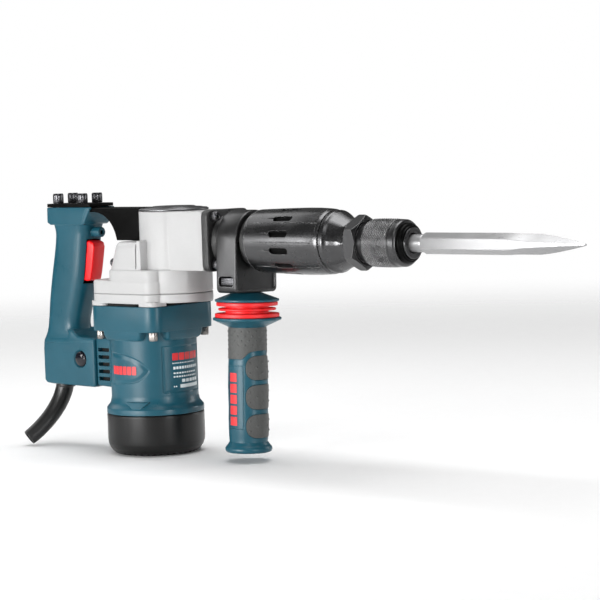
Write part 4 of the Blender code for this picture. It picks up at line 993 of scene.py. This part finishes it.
def handle():
    rows = [(98, -143.2, -92, 18, 3), (106, -143.2, -90.5, 18, 3.4), (109.5, -143.1, -91.5, 17.9, 4.6), (113, -142.9, -94, 17.5, 7.5),
            (118, -142.6, -97.4, 17.0, 10.4), (123, -142.2, -99, 16.7, 12), (132, -141.2, -98, 16.5, 12.5), (152, -138.8, -91.5, 16.5, 13),
            (175, -134.5, -85, 16.5, 13), (200, -129, -81, 16.5, 13), (214, -126.2, -79.2, 16.6, 12.5), (222, -125.5, -78.5, 16.8, 12),
            (230, -126.2, -77, 17.2, 10), (236, -127, -75, 17.4, 8)]
    rings = [[(a, b, z) for a, b in rounded(xr, xf, -half, half, r, 10)] for z, xr, xf, half, r in smooth_rows(rows, 5)]
    ob = loft(rings)
    foot_line = [(-140.4, 64.3), (-134, 63.6), (-67.5, 62.6), (-67.5, 113), (-80, 113.2), (-88, 113.8), (-92, 115), (-96, 117.6),
                 (-99.4, 121.4), (-104, 121.4), (-108, 110), (-130, 108.3), (-142.6, 106.2), (-143.3, 100), (-143.3, 67.4)]
    foot = slab(fillet(foot_line, 3, 4, True), -18, 18, axis="Y", edge=2.6, n=4)
    head = slab(fillet([(-129.3, 247), (-129.6, 231.5), (-125, 229), (-77.5, 229), (-75, 230.5), (-66, 246.4), (-66.4, 247)], 0.8, 3, True),
                -18, 18, axis="Y", edge=0.9)
    boss = lathe([(0, -67.5), (4.6, -67.5), (5.2, -68.2), (5.2, -84), (0, -84)], 48, soft=0.4, at=(0, 0, 221), rot=ALONG)
    join(ob, foot, head, boss)
    cut(ob,
        block((-124.8, -15.3, 242.0), (-50, 15.3, 260)),
        block((-122, -9.4, 168), (-70, 9.4, 214)),
        disc(2.4, -75, -60, at=(0, 0, 221), rot=ALONG, steps=32),
        disc(4.4, 0, 30, at=(-104, 0, 186), rot=(-math.pi / 2, 0, 0), steps=40),
        lathe([(0, 30), (9.4, 30), (9.4, 17.6), (8.2, 16.6), (8.2, 14), (0, 14)], 64, soft=0.2, at=(-88.5, 0, 91), rot=(math.pi / 2, 0, 0)),
        disc(10.0, 55, 70, at=(GUARD_X, 0, 0), steps=64),
        *[disc(3.1, 234.5, 262, at=(-101.5 + 17.8 * i, 10.5 * j, 0), steps=24) for i in (-1, 1) for j in (-1, 1)],
        # parting line of the two handle halves and the foot's step line
        wire([(-144, -17.9, 105.4), (-132, -18.0, 106.6), (-118, -18.1, 107.0), (-100, -18.1, 108.4), (-66, -18.1, 109.4)], 0.35, 6),
        wire([(-86.6, -16.6, 171.4), (-80, -16.8, 171.6), (-72, -17.4, 171.8)], 0.3, 6),
        wire([(-79.5, -18.1, 230.4), (-71.5, -18.1, 247.4)], 0.3, 6))
    piece("rear_handle_shell", ob, "teal_plastic", "handle")
    top = slab(rounded(-129.6, -66.8, -18, 18, 2, 6), 247.3, 250.8, edge=0.5)
    cut(top, *[disc(3.1, 230, 260, at=(-101.5 + 17.8 * i, 10.5 * j, 0), steps=24) for i in (-1, 1) for j in (-1, 1)])
    piece("handle_top_plate", top, "black_plastic", "top_plate")
    lens = lathe([(0, 19.2), (4, 18.9), (6.6, 18.2), (7.9, 17.2), (7.9, 14.3), (0, 14.3)], 64, soft=0.5, at=(-88.5, 0, 91), rot=(math.pi / 2, 0, 0))
    piece("status_lens_dome", lens, "lens_black", "status_lens")
    guard()


def guard():
    route = [Vector(p) for p in ((GUARD_X, 0, 68.8), (GUARD_X, 0, 47), (GUARD_X - 9, -17, 23), (GUARD_X - 19.5, -37, 7.9))]
    n = 40
    path = [sum((c * w for c, w in zip(route, ((1 - t) ** 3, 3 * t * (1 - t) ** 2, 3 * t * t * (1 - t), t ** 3))), Vector())
            for t in (i / n for i in range(n + 1))]
    radii = [9.2 - 1.1 * max(0, i - 6) / (n - 6) for i in range(n + 1)]
    radii[-1] -= 0.3
    ob = wire(path, radii, 48)
    collar = lathe([(0, 64), (9.9, 64), (10.3, 62.4), (10.3, 59.8), (9.6, 58.8), (0, 58.8)], 64, soft=0.4, at=(GUARD_X, 0, 0))
    join(ob, collar)
    tail = path[-1] + (path[-1] - path[-2]).normalized() * 3
    cut(ob, wire(path[-18:] + [tail], [6.0] * 16 + [6.2, 6.7, 7.2], 40))
    piece("lead_guard_tube", ob, "guard_rubber", "cord_guard")


def controls():
    outline = [(-91, 171.8), (-84.5, 170.8), (-79.3, 172), (-77, 180), (-75.3, 188), (-73.8, 196), (-72.0, 206), (-73.5, 210.5), (-79, 212.6), (-92, 212.6),
               (-93, 205), (-92.5, 180)]
    trig = slab(fillet(outline, 2.0, 4, True), -8.6, 8.6, axis="Y", edge=2.0, n=5)
    piece("trigger_paddle", trig, "red_plastic", "trigger")
    body = block((-121.5, -9.1, 169), (-99.5, 9.1, 213), edge=1)
    join(body, disc(2.0, -100, -96, at=(0, 0, 190), rot=ALONG, steps=24))
    piece("switch_block", body, "black_plastic", "switch_body")
    lock = lathe([(0, 7), (3.2, 6.9), (3.9, 6.2), (4.1, 5.4), (4.1, -2.4), (0, -2.4)], 40, soft=0.4, at=(-104, 14.5, 186), rot=(-math.pi / 2, 0, 0))
    piece("lock_button_cap", lock, "black_plastic", "lock_button")


rear_cover()
motor_housing()
gear_case_base()
crank_case()
lid()
barrel()
barrel_cover()
nose()
chuck()
sleeve_spring()
chisel()
side_handle()
rear_arm()
handle()
controls()
fasteners()

# ---- CAD nodes that stay take a better finish
for name, ob in frame["nodes"].items():
    if not ob.hide_render:
        for s in ob.material_slots:
            key = (s.material.name if s.material else "").split(".")[0]
            if key in LOOKS:
                s.material = LOOKS[key]


# ================================================================ floor, light and camera
def stage():
    bm = bmesh.new()
    bmesh.ops.create_circle(bm, cap_ends=True, radius=9.0, segments=96)
    me = bpy.data.meshes.new("floor")
    bm.to_mesh(me)
    bm.free()
    floor = bpy.data.objects.new("floor", me)
    floor.location = (0.1, 0, -0.0005)
    SCENE.collection.objects.link(floor)
    m = bpy.data.materials.new("pale floor")
    m.use_nodes = True
    nt = m.node_tree
    b = nt.nodes["Principled BSDF"]
    b.inputs["Roughness"].default_value = 0.8
    b.inputs["Specular IOR Level"].default_value = 0.1
    where = node(nt, "ShaderNodeTexCoord")
    far = node(nt, "ShaderNodeVectorMath", operation="LENGTH")
    nt.links.new(where.outputs["Object"], far.inputs[0])
    fade = node(nt, "ShaderNodeMapRange", interpolation_type="SMOOTHSTEP")
    for key, v in (("From Min", 0.45), ("From Max", 2.6), ("To Min", 0.0), ("To Max", 1.0)):
        fade.inputs[key].default_value = v
    nt.links.new(far.outputs["Value"], fade.inputs["Value"])
    grain = node(nt, "ShaderNodeTexNoise", Scale=60.0, Detail=3.0)
    nt.links.new(where.outputs["Object"], grain.inputs["Vector"])
    pale = node(nt, "ShaderNodeMix", data_type="RGBA")
    pale.inputs["A"].default_value = (0.94, 0.94, 0.94, 1)
    pale.inputs["B"].default_value = (0.97, 0.97, 0.97, 1)
    nt.links.new(grain.outputs["Fac"], pale.inputs["Factor"])
    nt.links.new(pale.outputs["Result"], b.inputs["Base Color"])
    clear = node(nt, "ShaderNodeBsdfTransparent")
    mix = node(nt, "ShaderNodeMixShader")
    nt.links.new(fade.outputs["Result"], mix.inputs[0])
    nt.links.new(b.outputs[0], mix.inputs[1])
    nt.links.new(clear.outputs[0], mix.inputs[2])
    nt.links.new(mix.outputs[0], nt.nodes["Material Output"].inputs["Surface"])
    me.materials.append(m)


def sky():
    world = bpy.data.worlds.new("studio")
    SCENE.world = world
    world.use_nodes = True
    nt = world.node_tree
    back = nt.nodes["Background"]
    back.inputs["Color"].default_value = (1, 1, 1, 1)
    back.inputs["Strength"].default_value = 1.0
    room = node(nt, "ShaderNodeBackground", Strength=0.12)
    where = node(nt, "ShaderNodeTexCoord")
    split = node(nt, "ShaderNodeSeparateXYZ")
    nt.links.new(where.outputs["Generated"], split.inputs[0])
    ramp = node(nt, "ShaderNodeValToRGB")
    ramp.color_ramp.elements[0].position = 0.25
    ramp.color_ramp.elements[0].color = (0.55, 0.55, 0.55, 1)
    ramp.color_ramp.elements[1].position = 0.95
    ramp.color_ramp.elements[1].color = (1, 1, 1, 1)
    lift = node(nt, "ShaderNodeMapRange")
    lift.inputs["From Min"].default_value = -1.0
    nt.links.new(split.outputs["Z"], lift.inputs["Value"])
    nt.links.new(lift.outputs["Result"], ramp.inputs["Fac"])
    nt.links.new(ramp.outputs["Color"], room.inputs["Color"])
    path = node(nt, "ShaderNodeLightPath")
    mix = node(nt, "ShaderNodeMixShader")
    nt.links.new(path.outputs["Is Camera Ray"], mix.inputs[0])
    nt.links.new(room.outputs[0], mix.inputs[1])
    nt.links.new(back.outputs[0], mix.inputs[2])
    nt.links.new(mix.outputs[0], nt.nodes["World Output"].inputs["Surface"])


def softbox(name, at, to, size, power):
    light = bpy.data.lights.new(name, "AREA")
    light.shape = "RECTANGLE"
    light.size, light.size_y = size
    light.energy = power
    ob = bpy.data.objects.new(name, light)
    ob.location = at
    ob.rotation_euler = (Vector(to) - Vector(at)).to_track_quat("-Z", "Y").to_euler()
    SCENE.collection.objects.link(ob)


def camera():
    """132 mm lens, 40.5 degrees round to the right, looking down 4.25 degrees, with a slight roll."""
    yaw, pitch, roll = math.radians(40.5), math.radians(4.2532), math.radians(-1.8228)
    fwd = Vector((-math.sin(yaw) * math.cos(pitch), math.cos(yaw) * math.cos(pitch), -math.sin(pitch)))
    right = Vector((math.cos(yaw), math.sin(yaw), 0))
    up = right.cross(fwd)
    right, up = right * math.cos(roll) + up * math.sin(roll), up * math.cos(roll) - right * math.sin(roll)
    data = bpy.data.cameras.new("view")
    data.sensor_width, data.lens = 36.0, 132.0
    cam = bpy.data.objects.new("view", data)
    turn = Matrix((right, up, -fwd)).transposed()
    cam.matrix_world = Matrix.LocRotScale(Vector((1.548443, -1.583341, 0.312294)), turn, None)
    SCENE.collection.objects.link(cam)
    SCENE.camera = cam


stage()
sky()
softbox("left", (-0.02, -1.85, 0.24), (0, 0, 0.2), (0.95, 0.45), 30)
softbox("far left", (-0.98, -1.5, 0.32), (0.1, 0, 0.2), (0.4, 0.5), 7)
softbox("high", (1.2, -1.2, 1.7), (0.05, 0, 0.15), (0.7, 0.7), 4)
softbox("right", (1.84, -0.46, 0.25), (0, 0, 0.2), (0.10, 0.46), 8)
softbox("edge", (0.75, 1.7, 0.5), (0.1, 0, 0.15), (0.4, 0.9), 6)
softbox("back", (-1.4, 0.1, 1.2), (0.1, 0, 0.15), (1.3, 1.3), 10)
softbox("top", (0.1, 0.2, 1.8), (0.1, 0, 0.1), (1.2, 1.2), 24)
camera()
SCENE.view_settings.view_transform = "Standard"
